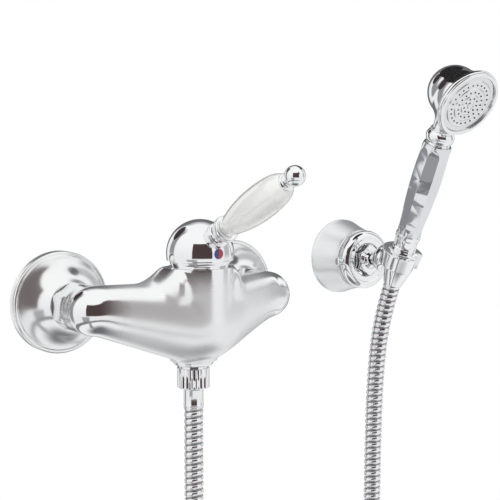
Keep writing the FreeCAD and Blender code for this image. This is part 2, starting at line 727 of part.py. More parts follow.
def mixer_body(bar, outlet, column):
    """The cast body: bar, elbows, column and outlet boss, with its water ways."""
    bar_loft = shaped("bar_loft", Part.makeLoft(body_sections(), True, False))
    flare_loft = shaped("flare_loft", Part.makeLoft(column_sections(), True, False))
    boss = rod("outlet_boss_rod", outlet, s.outlet_boss, s.outlet_drop)
    solids = [bar_loft, flare_loft, boss]
    channels = []
    tail_start = s.union_reach + s.washer_thickness
    elbow_start = s.nut_start + s.nut_length + s.part_gap
    for side, word in ((LEFT, "left"), (RIGHT, "right")):
        corner = bar.at(x=s.inlet_centres * (side * 0.5))
        solids.append(across_x(sphere(f"elbow_corner_{word}", corner, s.bar_radius)))
        wall = Frame(corner.x, 0, s.union_offset, 90)
        solids.append(lathe(f"elbow_{word}", wall, [
            (0, tail_start),
            (s.tail_collar, tail_start),
            (s.tail_collar, tail_start + s.tail_collar_length),
            (s.tail_radius, tail_start + s.tail_collar_length),
            (s.tail_radius, elbow_start),
            (s.elbow_radius - s.elbow_round, elbow_start),
            bow(s.elbow_round * 0.29, s.elbow_radius, elbow_start + s.elbow_round),
            (s.elbow_radius, s.bar_out),
            (0, s.bar_out),
        ]))
        channels.append(rod(f"tail_bore_{word}", wall.at(z=tail_start - 1), s.union_bore,
                            s.bar_out - tail_start + 1))
        channels.append(sphere(f"corner_bore_{word}", corner.turned(90), s.union_bore))
        port = column.at(x=s.port_x * side, y=-s.port_y, z=-s.channel_drop)
        channels.append(rod(f"port_{word}", port, s.port_radius, s.channel_drop))
        channels.append(shaped(f"channel_{word}", channel_between(corner.point(), port.point())))
    chamber_floor = column.at(z=-s.chamber_depth)
    channels.append(rod("chamber", chamber_floor, s.chamber_radius, s.chamber_depth + s.column_top + 1))
    channels.append(rod("chamber_thread_bore", column.at(z=s.shell_top), s.chamber_thread,
                        s.column_top - s.shell_top + 1))
    channels.append(rod("outlet_port", outlet, s.outlet_port_radius, s.outlet_drop + 1))
    channels.append(rod("outlet_thread_bore", outlet.at(z=s.outlet_drop - s.outlet_thread_depth),
                        s.outlet_thread, s.outlet_thread_depth + 1))
    solid = fused("body_solid", solids)
    return piece(cut("body", solid, channels), "mixer_body")


def channel_between(start, end):
    """A round channel from an elbow to just past the foot of its port."""
    run = end - start
    return Part.makeCylinder(s.channel_radius.value, run.Length + s.port_radius.value, start, run)


def cartridge(column):
    """The pieces of the cartridge that stand still, from the chamber floor up."""
    floor = -s.chamber_depth
    base_low = floor + s.seal_thickness
    base_high = base_low + s.base_thickness
    disc_high = base_high + s.disc_thickness
    flange_low = disc_high + s.disc_thickness + s.carrier_plate + s.part_gap * 2
    step = flange_low + s.rotor_flange_thickness + s.part_gap
    outlet_y = s.dome_out - s.outlet_out
    seals = []
    holes = []
    disc_holes = [rod("disc_outlet", column.at(y=s.disc_outlet_y, z=base_high - 1),
                      s.disc_outlet_radius, s.disc_thickness + 2)]
    for side, word in ((LEFT, "left"), (RIGHT, "right")):
        place = column.at(x=s.port_x * side, y=-s.port_y)
        inner = s.port_radius + s.part_gap
        seals.append(tube(f"seal_{word}", place, inner + s.seal_width, inner, floor, base_low))
        holes.append(rod(f"base_port_{word}", place.at(z=floor), s.port_radius,
                         s.base_thickness + s.seal_thickness + 1))
        disc_holes.append(rod(f"disc_port_{word}", place.at(z=base_high - 1), s.port_radius,
                              s.disc_thickness + 2))
    outlet_place = column.at(y=outlet_y)
    inner = s.outlet_port_radius + s.part_gap
    seals.append(tube("seal_outlet", outlet_place, inner + s.seal_width, inner, floor, base_low))
    holes.append(rod("base_outlet", outlet_place.at(z=floor), s.outlet_port_radius,
                     s.base_thickness + s.seal_thickness + 1))
    piece(grouped("seals", seals), "cartridge_seals")
    plate = rod("base_plate", column.at(z=base_low), s.cartridge_radius, s.base_thickness)
    piece(cut("base", plate, holes), "cartridge_base")
    disc = rod("fixed_disc", column.at(z=base_high), s.disc_fixed_radius, s.disc_thickness)
    piece(cut("fixed_disc_bored", disc, disc_holes), "ceramic_disc_fixed")
    bush_bore = s.rotor_radius + s.running_gap
    piece(lathe("shell", column, [
        (s.disc_bore, base_high),
        (s.cartridge_radius, base_high),
        (s.cartridge_radius, s.shell_top),
        (bush_bore, s.shell_top),
        (bush_bore, step),
        (s.disc_bore, step),
    ]), "cartridge_shell")
    nut_radius = s.chamber_thread - s.running_gap
    piece(tube("retaining_nut", column, nut_radius, s.retaining_nut_bore, s.shell_top,
               s.shell_top + s.retaining_nut_height), "cartridge_retaining_nut")
    return disc_high, flange_low


def mixing_parts(column, disc_high, flange_low):
    """The moving disc with its carrier, and the bush and pin that carry the lever."""
    low = disc_high + s.running_gap
    high = low + s.disc_thickness
    piece(lathe("moving_disc", column, [
        (0, low + s.disc_recess_depth),
        (s.disc_recess, low + s.disc_recess_depth),
        (s.disc_recess, low),
        (s.disc_moving_radius, low),
        (s.disc_moving_radius, high),
        (0, high),
    ]), "ceramic_disc_moving")
    plate_top = high + s.carrier_plate
    post_top = s.tilt_rise - s.spindle_reach + s.socket_rise
    piece(lathe("carrier", column, [
        (0, high),
        (s.carrier_radius, high),
        (s.carrier_radius, plate_top),
        (s.carrier_post, plate_top),
        (s.carrier_post, post_top),
        (s.socket_radius, post_top),
        (s.socket_radius, post_top - s.socket_depth),
        (0, post_top - s.socket_depth),
    ]), "disc_carrier")
    flange_high = flange_low + s.rotor_flange_thickness
    cheek_top = s.tilt_rise + s.cheek_rise
    bush = lathe("bush", column, [
        (s.rotor_bore, flange_low),
        (s.rotor_flange, flange_low),
        (s.rotor_flange, flange_high),
        (s.rotor_radius, flange_high),
        (s.rotor_radius, cheek_top),
        (s.rotor_bore, cheek_top),
    ])
    slot_low = s.tilt_rise - s.spindle_reach
    slot = block("cheek_slot", column.at(y=-s.rotor_flange, z=slot_low), s.cheek_gap,
                 s.rotor_flange * 2, s.spindle_reach + s.cheek_rise + 1)
    pin_place = column.at(z=s.tilt_rise)
    pin_hole = rod_across("pin_hole", pin_place, s.pin_radius, s.rotor_radius * 2 + 1)
    piece(cut("rotor", bush, [slot, pin_hole]), "cartridge_rotor")
    piece(rod_across("pin", pin_place, s.pin_radius, s.rotor_radius * 2 - s.part_gap * 2), "tilt_pin")


def across_ball(radius, height):
    """Radius of a ball's section at a height above its centre."""
    return root(radius * radius - height * height)


def shroud(pivot):
    """Round collar on the column: a low band in front, a higher wall behind, under the dome."""
    low = s.column_top - s.tilt_rise
    radius = s.dome_radius - s.shroud_inset
    inner = radius - s.shroud_wall
    solid = lathe("shroud_round", HERE, [
        about(across_ball(inner, low), low),
        (across_ball(radius, low), low),
        about(across_ball(radius, s.shroud_rise), s.shroud_rise),
        (across_ball(inner, s.shroud_rise), s.shroud_rise),
    ])
    front = block("shroud_front_room", Frame(y=-radius * 2 - s.shroud_front, z=-s.shroud_notch),
                  radius * 3, radius * 2, radius)
    return piece(cut("shroud", solid, [front], pivot), "shroud_ring")


def dome(pivot):
    """Dome cap: round shell with relieved rear rim, spindle boss, grub boss and plug recess."""
    inner = s.dome_radius - s.dome_wall
    shell = lathe("dome_shell", HERE, [
        about(across_ball(inner, s.dome_skirt), -s.dome_skirt),
        (across_ball(s.dome_radius, s.dome_skirt), -s.dome_skirt),
        about(0, s.dome_radius),
        (0, inner),
    ])
    reach = s.dome_radius - s.dome_wall / 2
    boss = rod("spindle_boss", Frame(z=s.boss_rise), s.boss_radius, reach - s.boss_rise - s.dome_wall)
    grub_frame = Frame(y=-s.grub_boss_end, z=s.grub_rise, turn=90)
    grub_boss = rod("grub_boss_rod", grub_frame, s.grub_boss, reach - s.grub_boss_end - s.dome_wall / 2)
    side = s.spindle_side + s.square_gap * 2
    square = block("spindle_square", Frame(y=-side / 2, z=s.boss_rise - 1), side, side,
                   s.spindle_top + s.part_gap - s.boss_rise + 1)
    grub_hole = rod("grub_hole", Frame(z=s.grub_rise, turn=90), s.grub_radius + s.running_gap,
                    s.dome_radius + 1)
    recess = rod("plug_recess", Frame(y=-(s.dome_radius - s.plug_depth), z=s.grub_rise, turn=90),
                 s.plug_radius + s.running_gap, s.plug_depth + 1)
    rod_hole = rod("lever_hole", Frame(z=s.lever_rise, turn=90 - s.lever_lean),
                   s.rod_radius + s.running_gap, s.dome_radius + 2)
    relief_frame = Frame(turn=s.lift_travel)
    relief = block("rim_relief", relief_frame.at(y=-s.dome_radius * 2, z=-s.lift_floor - s.dome_radius),
                   s.dome_radius * 4, s.dome_radius * 4, s.dome_radius)
    solid = fused("dome_solid", [shell, boss, grub_boss])
    tools = [square, grub_hole, recess, rod_hole, relief]
    piece(cut("dome", solid, tools, pivot), "dome_cap")
    plug_rod = rod("plug_rod", Frame(y=-(s.dome_radius - s.plug_depth), z=s.grub_rise, turn=90),
                   s.plug_radius, s.plug_depth + 1)
    plug_round = sphere("plug_round", HERE, s.dome_radius)
    piece(shared("plug", [plug_rod, plug_round], pivot), "index_plug")
    start = s.spindle_side / 2 + s.part_gap
    piece(rod("grub", pivot.at(y=-start, z=s.grub_rise).turned(90), s.grub_radius, s.grub_length),
          "handle_grub_screw")


def spindle(pivot):
    """Steel spindle: square head above the pin, round shank and ball below it."""
    half = s.spindle_side / 2
    head = block("spindle_head", Frame(y=-half, z=-half), s.spindle_side, s.spindle_side,
                 s.spindle_top + half)
    shank = rod("spindle_shank_rod", Frame(z=-s.spindle_reach), s.spindle_shank, s.spindle_reach)
    ball = sphere("spindle_ball_round", Frame(z=-s.spindle_reach), s.spindle_ball)
    hole = rod_across("spindle_hole", HERE, s.pin_radius + s.running_gap, s.spindle_side + 2)
    solid = fused("spindle_solid", [head, shank, ball])
    return piece(cut("spindle", solid, [hole], pivot), "spindle")


def lever(pivot, axis):
    """Socket, ring, ceramic grip, neck and ball on one steel rod, along the lever's axis."""
    bore = s.rod_radius + s.running_gap
    base_end = s.dome_radius + s.socket_base_length
    waist_start = base_end + s.collar_round
    socket = lathe("socket_round", axis, [
        (bore, s.rod_start),
        (s.socket_base, s.rod_start),
        (s.socket_base, base_end),
        bow(s.collar_round * 0.2, s.socket_waist, waist_start),
        bow(-s.socket_hollow, s.socket_flare, s.socket_end),
        (bore, s.socket_end),
    ])
    seat = sphere("socket_seat", pivot, s.dome_radius)
    piece(cut("socket", socket, [seat]), "lever_socket")
    ring_end = s.socket_end + s.collar_length
    flank = s.socket_flare - s.collar_round
    piece(lathe("ring", axis, [
        (bore, s.socket_end),
        (flank, s.socket_end),
        bow(s.collar_round * 0.29, s.socket_flare, s.socket_end + s.collar_round),
        (s.socket_flare, ring_end - s.collar_round),
        bow(s.collar_round * 0.29, flank, ring_end),
        (bore, ring_end),
    ]), "lever_collar")
    grip_end = ring_end + s.grip_length
    piece(lathe("grip", axis, [
        (bore, ring_end),
        (s.grip_neck, ring_end),
        bow(s.grip_swell, s.grip_belly, ring_end + s.grip_belly_at),
        bow(s.grip_crown, s.grip_end, grip_end),
        (bore, grip_end),
    ]), "ceramic_grip")
    neck_end = grip_end + s.neck_length
    piece(lathe("neck", axis, [
        (bore, grip_end),
        (s.neck_radius, grip_end),
        (s.neck_radius, grip_end + s.neck_length * 0.4),
        bow(-s.running_gap * 8, s.neck_waist, neck_end),
        (bore, neck_end),
    ]), "lever_neck")
    seat_rise = root(s.finial_radius * s.finial_radius - s.neck_waist * s.neck_waist)
    ball = sphere("finial_round", axis.at(z=neck_end + seat_rise), s.finial_radius)
    flat = rod("finial_flat", axis.at(z=neck_end - s.finial_radius), s.finial_radius, s.finial_radius)
    rod_end = neck_end + s.finial_radius
    bore_rod = rod("finial_bore", axis.at(z=neck_end - 1), bore, s.finial_radius + 1 + s.part_gap)
    piece(cut("finial", ball, [flat, bore_rod]), "finial_ball")
    piece(rod("lever_rod_bar", axis.at(z=s.rod_start), s.rod_radius, rod_end - s.rod_start), "lever_rod")


def fluted(shape, count, radius, flute, low, high):
    """Cuts shallow round flutes into a turned shape, evenly about Z."""
    cutters = []
    for index in range(count):
        angle = math.radians(360 * index / count)
        place = FreeCAD.Vector(radius * math.cos(angle), radius * math.sin(angle), low)
        cutters.append(Part.makeCylinder(flute, high - low, place))
    return shape.cut(cutters)


def ring_shape(points):
    """A solid turned from plain numbers, used where the shape is made here."""
    corners = [FreeCAD.Vector(r, 0, z) for r, z in points]
    face = Part.Face(Part.makePolygon(corners + corners[:1]))
    return face.revolve(FreeCAD.Vector(0, 0, 0), FreeCAD.Vector(0, 0, 1), 360)


def outlet_parts(outlet):
    """Disc, threaded nipple, washer, ferrule and fluted nut, downwards from the body."""
    face = s.outlet_drop
    disc_end = face + s.outlet_disc_thickness
    thread = s.outlet_thread - s.running_gap
    nipple_end = face + s.nipple_length
    piece(lathe("disc", outlet, [
        (s.outlet_thread + s.part_gap, face),
        (s.outlet_disc_radius, face),
        (s.outlet_disc_radius, disc_end - s.collar_round),
        bow(s.collar_round * 0.29, s.outlet_disc_radius - s.collar_round, disc_end),
        (s.outlet_thread + s.part_gap, disc_end),
    ]), "outlet_disc")
    piece(tube("nipple", outlet, thread, s.nipple_bore, face - s.outlet_thread_depth + s.part_gap,
               nipple_end), "outlet_nipple")
    washer_end = nipple_end + s.washer_thickness
    piece(tube("lower_washer", outlet, s.ferrule_head, s.nipple_bore, nipple_end, washer_end),
          "hose_washer_lower")
    head_end = washer_end + s.ferrule_head_length
    nut_end = head_end + s.hose_nut_lip
    hose_start = nut_end + s.ferrule_length
    piece(lathe("lower_ferrule", outlet, [
        (s.ferrule_bore, washer_end),
        (s.ferrule_head, washer_end),
        (s.ferrule_head, head_end),
        (s.ferrule_radius, head_end),
        (s.ferrule_radius, hose_start),
        (s.ferrule_bore, hose_start),
    ]), "hose_ferrule_lower")
    nut_start = disc_end + s.hose_nut_gap
    inside = s.outlet_thread.value + s.running_gap.value
    hole = s.ferrule_radius.value + s.part_gap.value
    outside = s.hose_nut_radius.value
    bevel = s.collar_round.value
    blank = ring_shape([
        (inside, nut_start.value),
        (outside - bevel, nut_start.value),
        (outside, nut_start.value + bevel),
        (outside, nut_end.value - bevel),
        (outside - bevel, nut_end.value),
        (hole, nut_end.value),
        (hole, head_end.value),
        (inside, head_end.value),
    ])
    shape = fluted(blank, int(s.flute_count.value), outside + s.flute_radius.value / 2,
                   s.flute_radius.value, nut_start.value + bevel, nut_end.value - bevel)
    piece(shaped("lower_nut", shape, outlet), "hose_nut_lower")
    return hose_start


def bracket(wall):
    """Wall plate with its screws, cone cover, round collar, ball seat and hex lock ring."""
    plate = lathe("plate", HERE, [
        (0, 0),
        (s.plate_radius, 0),
        (s.plate_radius, s.plate_thickness),
        (s.plate_boss, s.plate_thickness),
        (s.plate_boss, s.plate_boss_length),
        (0, s.plate_boss_length),
    ])
    holes = []
    screws = []
    for side, word in ((LEFT, "left"), (RIGHT, "right")):
        across = s.screw_spacing * (side * 0.5)
        holes.append(rod(f"screw_hole_{word}", Frame(x=across, z=-1), s.screw_radius + s.part_gap,
                         s.plate_thickness + 2))
        screws.append(lathe(f"wall_screw_{word}", wall.at(x=across), [
            (0, -s.screw_depth),
            (s.screw_radius * 0.4, -s.screw_depth),
            (s.screw_radius, s.screw_radius * 1.6 - s.screw_depth),
            (s.screw_radius, 0),
            (s.screw_radius + s.screw_collar, 0),
            (s.screw_radius + s.screw_collar, s.plate_thickness),
            (s.screw_head, s.plate_thickness),
            bow(s.screw_head * 0.1, s.screw_head * 0.6, s.plate_thickness + s.screw_head_length),
            (0, s.plate_thickness + s.screw_head_length),
        ]))
    piece(cut("wall_plate", plate, holes, wall), "bracket_wall_plate")
    piece(grouped("wall_screws", screws), "bracket_screws")
    inner_back = s.cone_back - s.cone_wall
    inner_front = s.cone_front - s.cone_wall
    face_low = s.cone_depth - s.cone_wall
    piece(lathe("cone", wall, [
        (inner_back, 0),
        (s.cone_back, 0),
        (s.cone_front, s.cone_depth - s.cone_round),
        bow(s.cone_round * 0.29, s.cone_front - s.cone_round, s.cone_depth),
        (s.cone_mouth, s.cone_depth),
        (s.cone_mouth, face_low),
        (inner_front, face_low),
    ]), "bracket_cone")
    ring_end = s.cone_depth + s.ring_depth
    ring = lathe("collar_round_ring", wall, [
        (s.ring_inner, s.cone_depth),
        (s.cone_front - s.cone_round, s.cone_depth),
        bow(s.ring_swell, s.ring_face, ring_end),
        (s.ring_inner + s.cone_round, ring_end),
        bow(s.cone_round * 0.29, s.ring_inner, ring_end - s.cone_round),
    ])
    thumb = wall.at(z=s.thumb_out)
    hole = across_x(rod("thumb_hole", thumb, s.face_screw_shank + s.running_gap, s.ring_outer * 2))
    piece(cut("collar_ring", ring, [hole]), "bracket_collar")
    head_start = s.ring_outer + s.thumb_gap
    piece(across_x(lathe("thumb_screw", thumb, [
        (0, s.lock_skirt + s.part_gap),
        (s.face_screw_shank, s.lock_skirt + s.part_gap),
        (s.face_screw_shank, head_start),
        (s.thumb_radius * 0.8, head_start),
        bow(s.thumb_radius * 0.1, s.thumb_radius, head_start + s.thumb_length * 0.5),
        bow(s.thumb_radius * 0.1, s.thumb_radius * 0.7, head_start + s.thumb_length),
        (0, head_start + s.thumb_length),
    ])), "bracket_thumb_screw")
    ball = wall.at(z=s.ball_out)
    socket = s.ball_radius + s.ball_gap
    seat_end = s.lock_start - s.part_gap
    seat_rod = rod("seat_rod", wall.at(z=s.plate_boss_length), s.plate_boss, seat_end - s.plate_boss_length)
    piece(cut("seat", seat_rod, [sphere("seat_hollow", ball, socket)]), "ball_seat")
    lock_hex = hexagon("lock_hex", wall.at(z=s.lock_start), s.lock_flats, s.lock_length)
    lock_skirt = rod("lock_skirt_rod", wall.at(z=s.lock_skirt_start), s.lock_skirt,
                     s.lock_start - s.lock_skirt_start)
    skirt_bore = rod("lock_skirt_bore", wall.at(z=s.lock_skirt_start - 1), s.plate_boss + s.running_gap,
                     s.lock_start - s.lock_skirt_start + 1)
    mouth = rod("lock_mouth_bore", wall.at(z=s.lock_start - 1), s.lock_mouth, s.lock_length + 2)
    lock_solid = fused("lock_solid", [lock_hex, lock_skirt])
    piece(cut("lock", lock_solid, [skirt_bore, mouth, sphere("lock_hollow", ball, socket)]),
          "bracket_lock_ring")


def across_x(item):
    """Turns an item that was built along its frame's Z so that it points along -X."""
    item.setExpression("Placement.Rotation.Angle", None)
    turn = FreeCAD.Rotation(FreeCAD.Vector(0, 1, 0), -90)
    item.Placement = FreeCAD.Placement(item.Placement.Base, turn)
    return item


def holder(ball, ring):
    """Swivel ball, tapered arm, round knuckle and the slotted holder ring, in one casting."""
    arm = lathe("arm", ball, [
        (0, 0),
        (s.arm_root, 0),
        (s.arm_root, s.ball_radius),
        bow(-s.socket_hollow, s.arm_end, s.arm_length),
        (0, s.arm_length),
    ])
    half = s.holder_height / 2
    outside = lathe("holder_outside", ring, [
        (0, -half),
        (s.holder_foot, -half),
        (s.holder_top, half),
        (0, half),
    ])
    above = s.knuckle_radius * 2
    bore = lathe("holder_bore", ring, [
        (0, -above),
        (s.nut_low + s.seat_gap, -above),
        (s.nut_low + s.seat_gap, -half),
        (s.nut_high + s.seat_gap, half),
        (s.nut_high + s.seat_gap, above),
        (0, above),
    ])
    solids = [sphere("swivel_ball", ball, s.ball_radius), arm,
              sphere("knuckle", ball.at(z=s.arm_length), s.knuckle_radius), outside]
    slot_box = Part.makeBox(s.holder_slot.value, s.holder_top.value * 2, above.value * 2,
                            FreeCAD.Vector(s.holder_slot.value / -2, s.holder_top.value * -2, -above.value))
    slot_box.rotate(FreeCAD.Vector(0, 0, 0), FreeCAD.Vector(0, 0, 1), s.holder_slot_turn.value)
    slot = shaped("holder_slot_room", slot_box, ring)
    solid = fused("holder_solid", solids)
    return piece(cut("holder", solid, [bore, slot]), "holder_arm")


def upper_joint(ring):
    """Cone nut that sits in the holder ring, with its washer and the upper ferrule."""
    half = s.holder_height / 2
    washer_low = -s.spigot_start - s.washer_thickness
    head_low = washer_low - s.ferrule_head_length
    thread = s.spigot_thread + s.running_gap
    piece(lathe("cone_nut", ring, [
        (s.upper_ferrule + s.part_gap, -s.cone_nut_foot),
        (s.cone_nut_tip, -s.cone_nut_foot),
        (s.nut_low, -half),
        (s.nut_high, half),
        (s.nut_high, s.cone_nut_top - s.part_gap),
        (s.nut_high - s.part_gap, s.cone_nut_top),
        (thread, s.cone_nut_top),
        (thread, -s.spigot_start),
        (s.ferrule_head + s.part_gap, -s.spigot_start),
        (s.ferrule_head + s.part_gap, head_low),
        (s.upper_ferrule + s.part_gap, head_low),
    ]), "hose_nut_upper")
    piece(tube("upper_washer", ring, s.ferrule_head, s.spigot_bore, washer_low, -s.spigot_start),
          "hose_washer_upper")
    piece(lathe("upper_ferrule_sleeve", ring, [
        (s.ferrule_bore, -s.cone_nut_foot),
        (s.upper_ferrule, -s.cone_nut_foot),
        (s.upper_ferrule, head_low),
        (s.ferrule_head, head_low),
        (s.ferrule_head, washer_low),
        (s.ferrule_bore, washer_low),
    ]), "hose_ferrule_upper")


def grip_section(radius_to_flat, height):
    """Closed polygon of the grip's flats at one height."""
    count = int(s.facet_count.value)
    corner = radius_to_flat / math.cos(math.pi / count)
    corners = []
    for index in range(count + 1):
        angle = 2 * math.pi * (index + 0.5) / count
        corners.append(FreeCAD.Vector(corner * math.cos(angle), corner * math.sin(angle), height))
    return Part.makePolygon(corners)


def handset_handle(ring):
    """Threaded ferrule, faceted grip over its water tube, and the round collar."""
    tube_start = s.sleeve_top - s.sleeve_flange_length * 2
    grip_low = s.sleeve_top + s.sleeve_flange_length
    belly = grip_low + s.barrel_belly_at
    grip_high = grip_low + s.barrel_length
    tube_hole = s.tube_radius + s.tube_gap
    piece(lathe("sleeve", ring, [
        (s.spigot_bore, -s.spigot_start),
        (s.spigot_thread, -s.spigot_start),
        (s.spigot_thread, s.part_gap * 10),
        (s.sleeve_radius, s.part_gap * 14),
        (s.sleeve_radius, s.sleeve_top),
        (s.sleeve_flange, s.sleeve_top + s.part_gap),
        (s.sleeve_flange, grip_low),
        (tube_hole, grip_low),
        (tube_hole, tube_start),
        (s.spigot_bore, tube_start),
    ]), "handset_ferrule")
    barrel = lathe("barrel", HERE, [
        (tube_hole, grip_low),
        (s.barrel_foot, grip_low),
        bow(s.barrel_swell, s.barrel_belly, belly),
        bow(s.barrel_crown, s.barrel_head, grip_high),
        (tube_hole, grip_high),
    ])
    sections = [grip_section(s.facet_foot.value, grip_low.value),
                grip_section(s.facet_belly.value, belly.value),
                grip_section(s.facet_head.value, grip_high.value)]
    flats = shaped("barrel_flats", Part.makeLoft(sections, True, False))
    piece(shared("faceted_barrel", [barrel, flats], ring), "handset_grip")
    bulge_end = grip_high + s.bulge_length
    piece(lathe("bulge", ring, [
        (tube_hole, grip_high),
        (s.bulge_end, grip_high),
        bow(s.bulge_swell, s.bulge_end, bulge_end),
        (tube_hole, bulge_end),
    ]), "handset_collar")
    tube_end = bulge_end + s.head_neck_straight
    piece(tube("water_tube", ring, s.tube_radius, s.spigot_bore, tube_start, tube_end), "handset_tube")
    return bulge_end, tube_end


def head(ring, centre, neck_low, tube_end):
    """Round hollow head on its flared neck, open towards the spray face."""
    neck_high = neck_low + s.head_neck_length
    neck = lathe("head_neck_round", ring, [
        (0, neck_low),
        (s.head_neck, neck_low),
        (s.head_neck, tube_end),
        bow(-s.head_neck_hollow, s.head_neck_flare, neck_high),
        (0, neck_high),
    ])
    rim_low = s.face_out - s.rim_depth
    back = lathe("head_back", centre, [
        (0, -s.head_radius),
        about(s.head_radius, 0),
        (s.rim_back, rim_low),
        (0, rim_low),
    ])
    inner = s.head_radius - s.head_wall
    hollow = lathe("head_hollow", centre, [
        (0, -inner),
        about(inner, 0),
        (s.rim_back - s.head_wall, rim_low + 1),
        (0, rim_low + 1),
    ])
    seat = rod("head_tube_seat", ring.at(z=neck_low - 1), s.tube_radius + s.tube_gap,
               tube_end - neck_low + 1)
    way = rod("head_water_way", ring.at(z=tube_end - 1), s.spigot_bore, s.head_neck_length)
    front = rod("head_front_room", centre.at(z=rim_low), s.rim_radius + s.part_gap, s.head_radius)
    solid = fused("head_solid", [neck, back])
    return piece(cut("head", solid, [hollow, seat, way, front]), "handset_head")


def spray_face(centre):
    """Rim ring, diffuser, gasket, stepped spray plate with its jets, and the centre screw."""
    rim_low = s.face_out - s.rim_depth
    edge_low = s.face_out - s.rim_edge
    plate_top = s.face_out - s.rim_recess
    plate_low = plate_top - s.spray_thickness
    gasket_low = plate_low - s.gasket_thickness
    inner = s.rim_back - s.head_wall
    piece(lathe("rim", centre, [
        (inner, rim_low),
        (s.rim_back, rim_low),
        bow(-s.rim_round * 0.4, s.rim_radius, edge_low),
        (s.rim_radius, s.face_out - s.rim_round),
        bow(s.rim_round * 0.29, s.rim_radius - s.rim_round, s.face_out),
        (s.rim_mouth, s.face_out),
        (s.rim_mouth, gasket_low),
        (inner, gasket_low),
    ]), "head_rim")
    rims = [s.plate_ring_three, s.plate_ring_two, s.plate_ring_one, s.rim_mouth - s.running_gap]
    hole = s.face_screw_shank + s.running_gap
    outline = [(hole, plate_low), (rims[-1], plate_low)]
    for index, radius in enumerate(reversed(rims)):
        level = plate_top + s.plate_step * index
        outline.append((radius, level))
        after = rims[-index - 2] if index < 3 else hole
        outline.append((after, level))
    plate = lathe("face_plate", HERE, outline)
    height = s.plate_step.value * 3 + s.spray_thickness.value + 2
    rings = [(s.jets_outer, s.jets_outer_ring), (s.jets_middle, s.jets_middle_ring),
             (s.jets_inner, s.jets_inner_ring)]
    jets = []
    for count, radius in rings:
        for index in range(int(count.value)):
            angle = 2 * math.pi * index / count.value
            place = FreeCAD.Vector(radius.value * math.cos(angle), radius.value * math.sin(angle),
                                   plate_low.value - 1)
            jets.append(Part.makeCylinder(s.jet_radius.value, height, place))
    jet_holes = shaped("jet_holes", Part.makeCompound(jets))
    piece(cut("jet_plate", plate, [jet_holes], centre), "spray_plate")
    piece(tube("gasket", centre, s.rim_mouth - s.part_gap, s.gasket_inner + s.part_gap, gasket_low,
               plate_low), "spray_gasket")
    top = plate_top + s.plate_step * 3
    shank_end = top - s.face_screw_length
    diffuser_low = s.face_out - s.diffuser_back
    piece(lathe("diffuser", centre, [
        (hole, diffuser_low),
        (inner - s.part_gap, diffuser_low),
        (inner - s.part_gap, diffuser_low + s.diffuser_thickness),
        (s.diffuser_post, diffuser_low + s.diffuser_thickness),
        (s.diffuser_post, plate_low),
        (hole, plate_low),
    ]), "spray_diffuser")
    screw = lathe("centre_screw", HERE, [
        (0, shank_end),
        (s.face_screw_shank, shank_end),
        (s.face_screw_shank, top),
        (s.face_screw_radius, top),
        bow(s.face_screw_shank * 0.3, 0, top + s.face_screw_shank),
    ])
    width = s.screw_cross
    length = s.face_screw_radius * 1.3
    slots = []
    for word, wide, deep in (("across", length, width), ("along", width, length)):
        slots.append(block(f"cross_{word}", Frame(y=-deep / 2, z=top + width * 0.4), wide, deep,
                           s.face_screw_shank))
    piece(cut("cross_screw", screw, slots, centre), "face_screw")


def rounded_route(points, share=0.45):
    """Lines joined by arcs, each arc as large as its shorter run allows, and the arcs' radii."""
    edges = []
    radii = []
    start = points[0]
    for before, corner, after in zip(points, points[1:], points[2:]):
        run_in = corner - before
        run_out = after - corner
        turn = run_in.getAngle(run_out)
        setback = share * min(run_in.Length, run_out.Length)
        radii.append(setback / math.tan(turn / 2))
        into = FreeCAD.Vector(run_in).normalize()
        out = FreeCAD.Vector(run_out).normalize()
        arc_start = corner - into * setback
        arc_end = corner + out * setback
        bisector = (out - into).normalize()
        centre = corner + bisector * (radii[-1] / math.cos(turn / 2))
        middle = centre - bisector * radii[-1]
        edges.append(Part.LineSegment(start, arc_start).toShape())
        edges.append(Part.Arc(arc_start, middle, arc_end).toShape())
        start = arc_end
    edges.append(Part.LineSegment(start, points[-1]).toShape())
    return edges, radii


def ring_wire(radius, centre, axis):
    """A circle across the route whose seam always lies on the X side."""
    circle = Part.Circle(centre, axis, radius)
    circle.XAxis = FreeCAD.Vector(1, 0, 0)
    return Part.Wire(circle.toShape())


def place_at(edges, length):
    """Point and direction at a length along a route of edges."""
    for edge in edges:
        if length <= edge.Length + 1e-7:
            break
        length -= edge.Length
    parameter = edge.getParameterByLength(min(length, edge.Length))
    return edge.valueAt(parameter), edge.tangentAt(parameter)


def ribbed_hose(edges):
    """Hose wall whose outside is lofted through four circles for each rib."""
    total = sum(edge.Length for edge in edges)
    count = int(total / s.rib_pitch.value)
    pitch = total / count
    land = s.rib_land.value
    slope = (1 - land) / 3
    steps = [(0, s.hose_groove.value), (slope, s.hose_radius.value),
             (slope + land, s.hose_radius.value), (slope * 2 + land, s.hose_groove.value)]
    wires = []
    for index in range(count):
        for share, radius in steps:
            point, direction = place_at(edges, (index + share) * pitch)
            wires.append(ring_wire(radius, point, direction))
    point, direction = place_at(edges, total)
    wires.append(ring_wire(s.hose_groove.value, point, direction))
    outside = Part.makeLoft(wires, True, True)
    start, direction = place_at(edges, 0)
    bore = Part.Wire(edges).makePipeShell([ring_wire(s.hose_bore.value, start, direction)], True, False)
    return outside.cut(bore), count


def coil_edges(low):
    """Half turns between the two legs, each a half circle with upright ends."""
    half_pitch = s.coil_pitch.value / 2
    span = s.bracket_x.value
    edges = []
    for index in range(int(s.coil_half_turns.value)):
        from_left = index % 2 == 0
        y_from = -s.outlet_out.value + half_pitch * index
        start = FreeCAD.Vector(0 if from_left else span, y_from, low)
        end = FreeCAD.Vector(span if from_left else 0, y_from + half_pitch, low)
        middle = (start + end) / 2
        reach = (end - start).Length / 2
        middle.z += -reach if from_left else reach
        edges.append(Part.Arc(start, middle, end).toShape())
    return edges


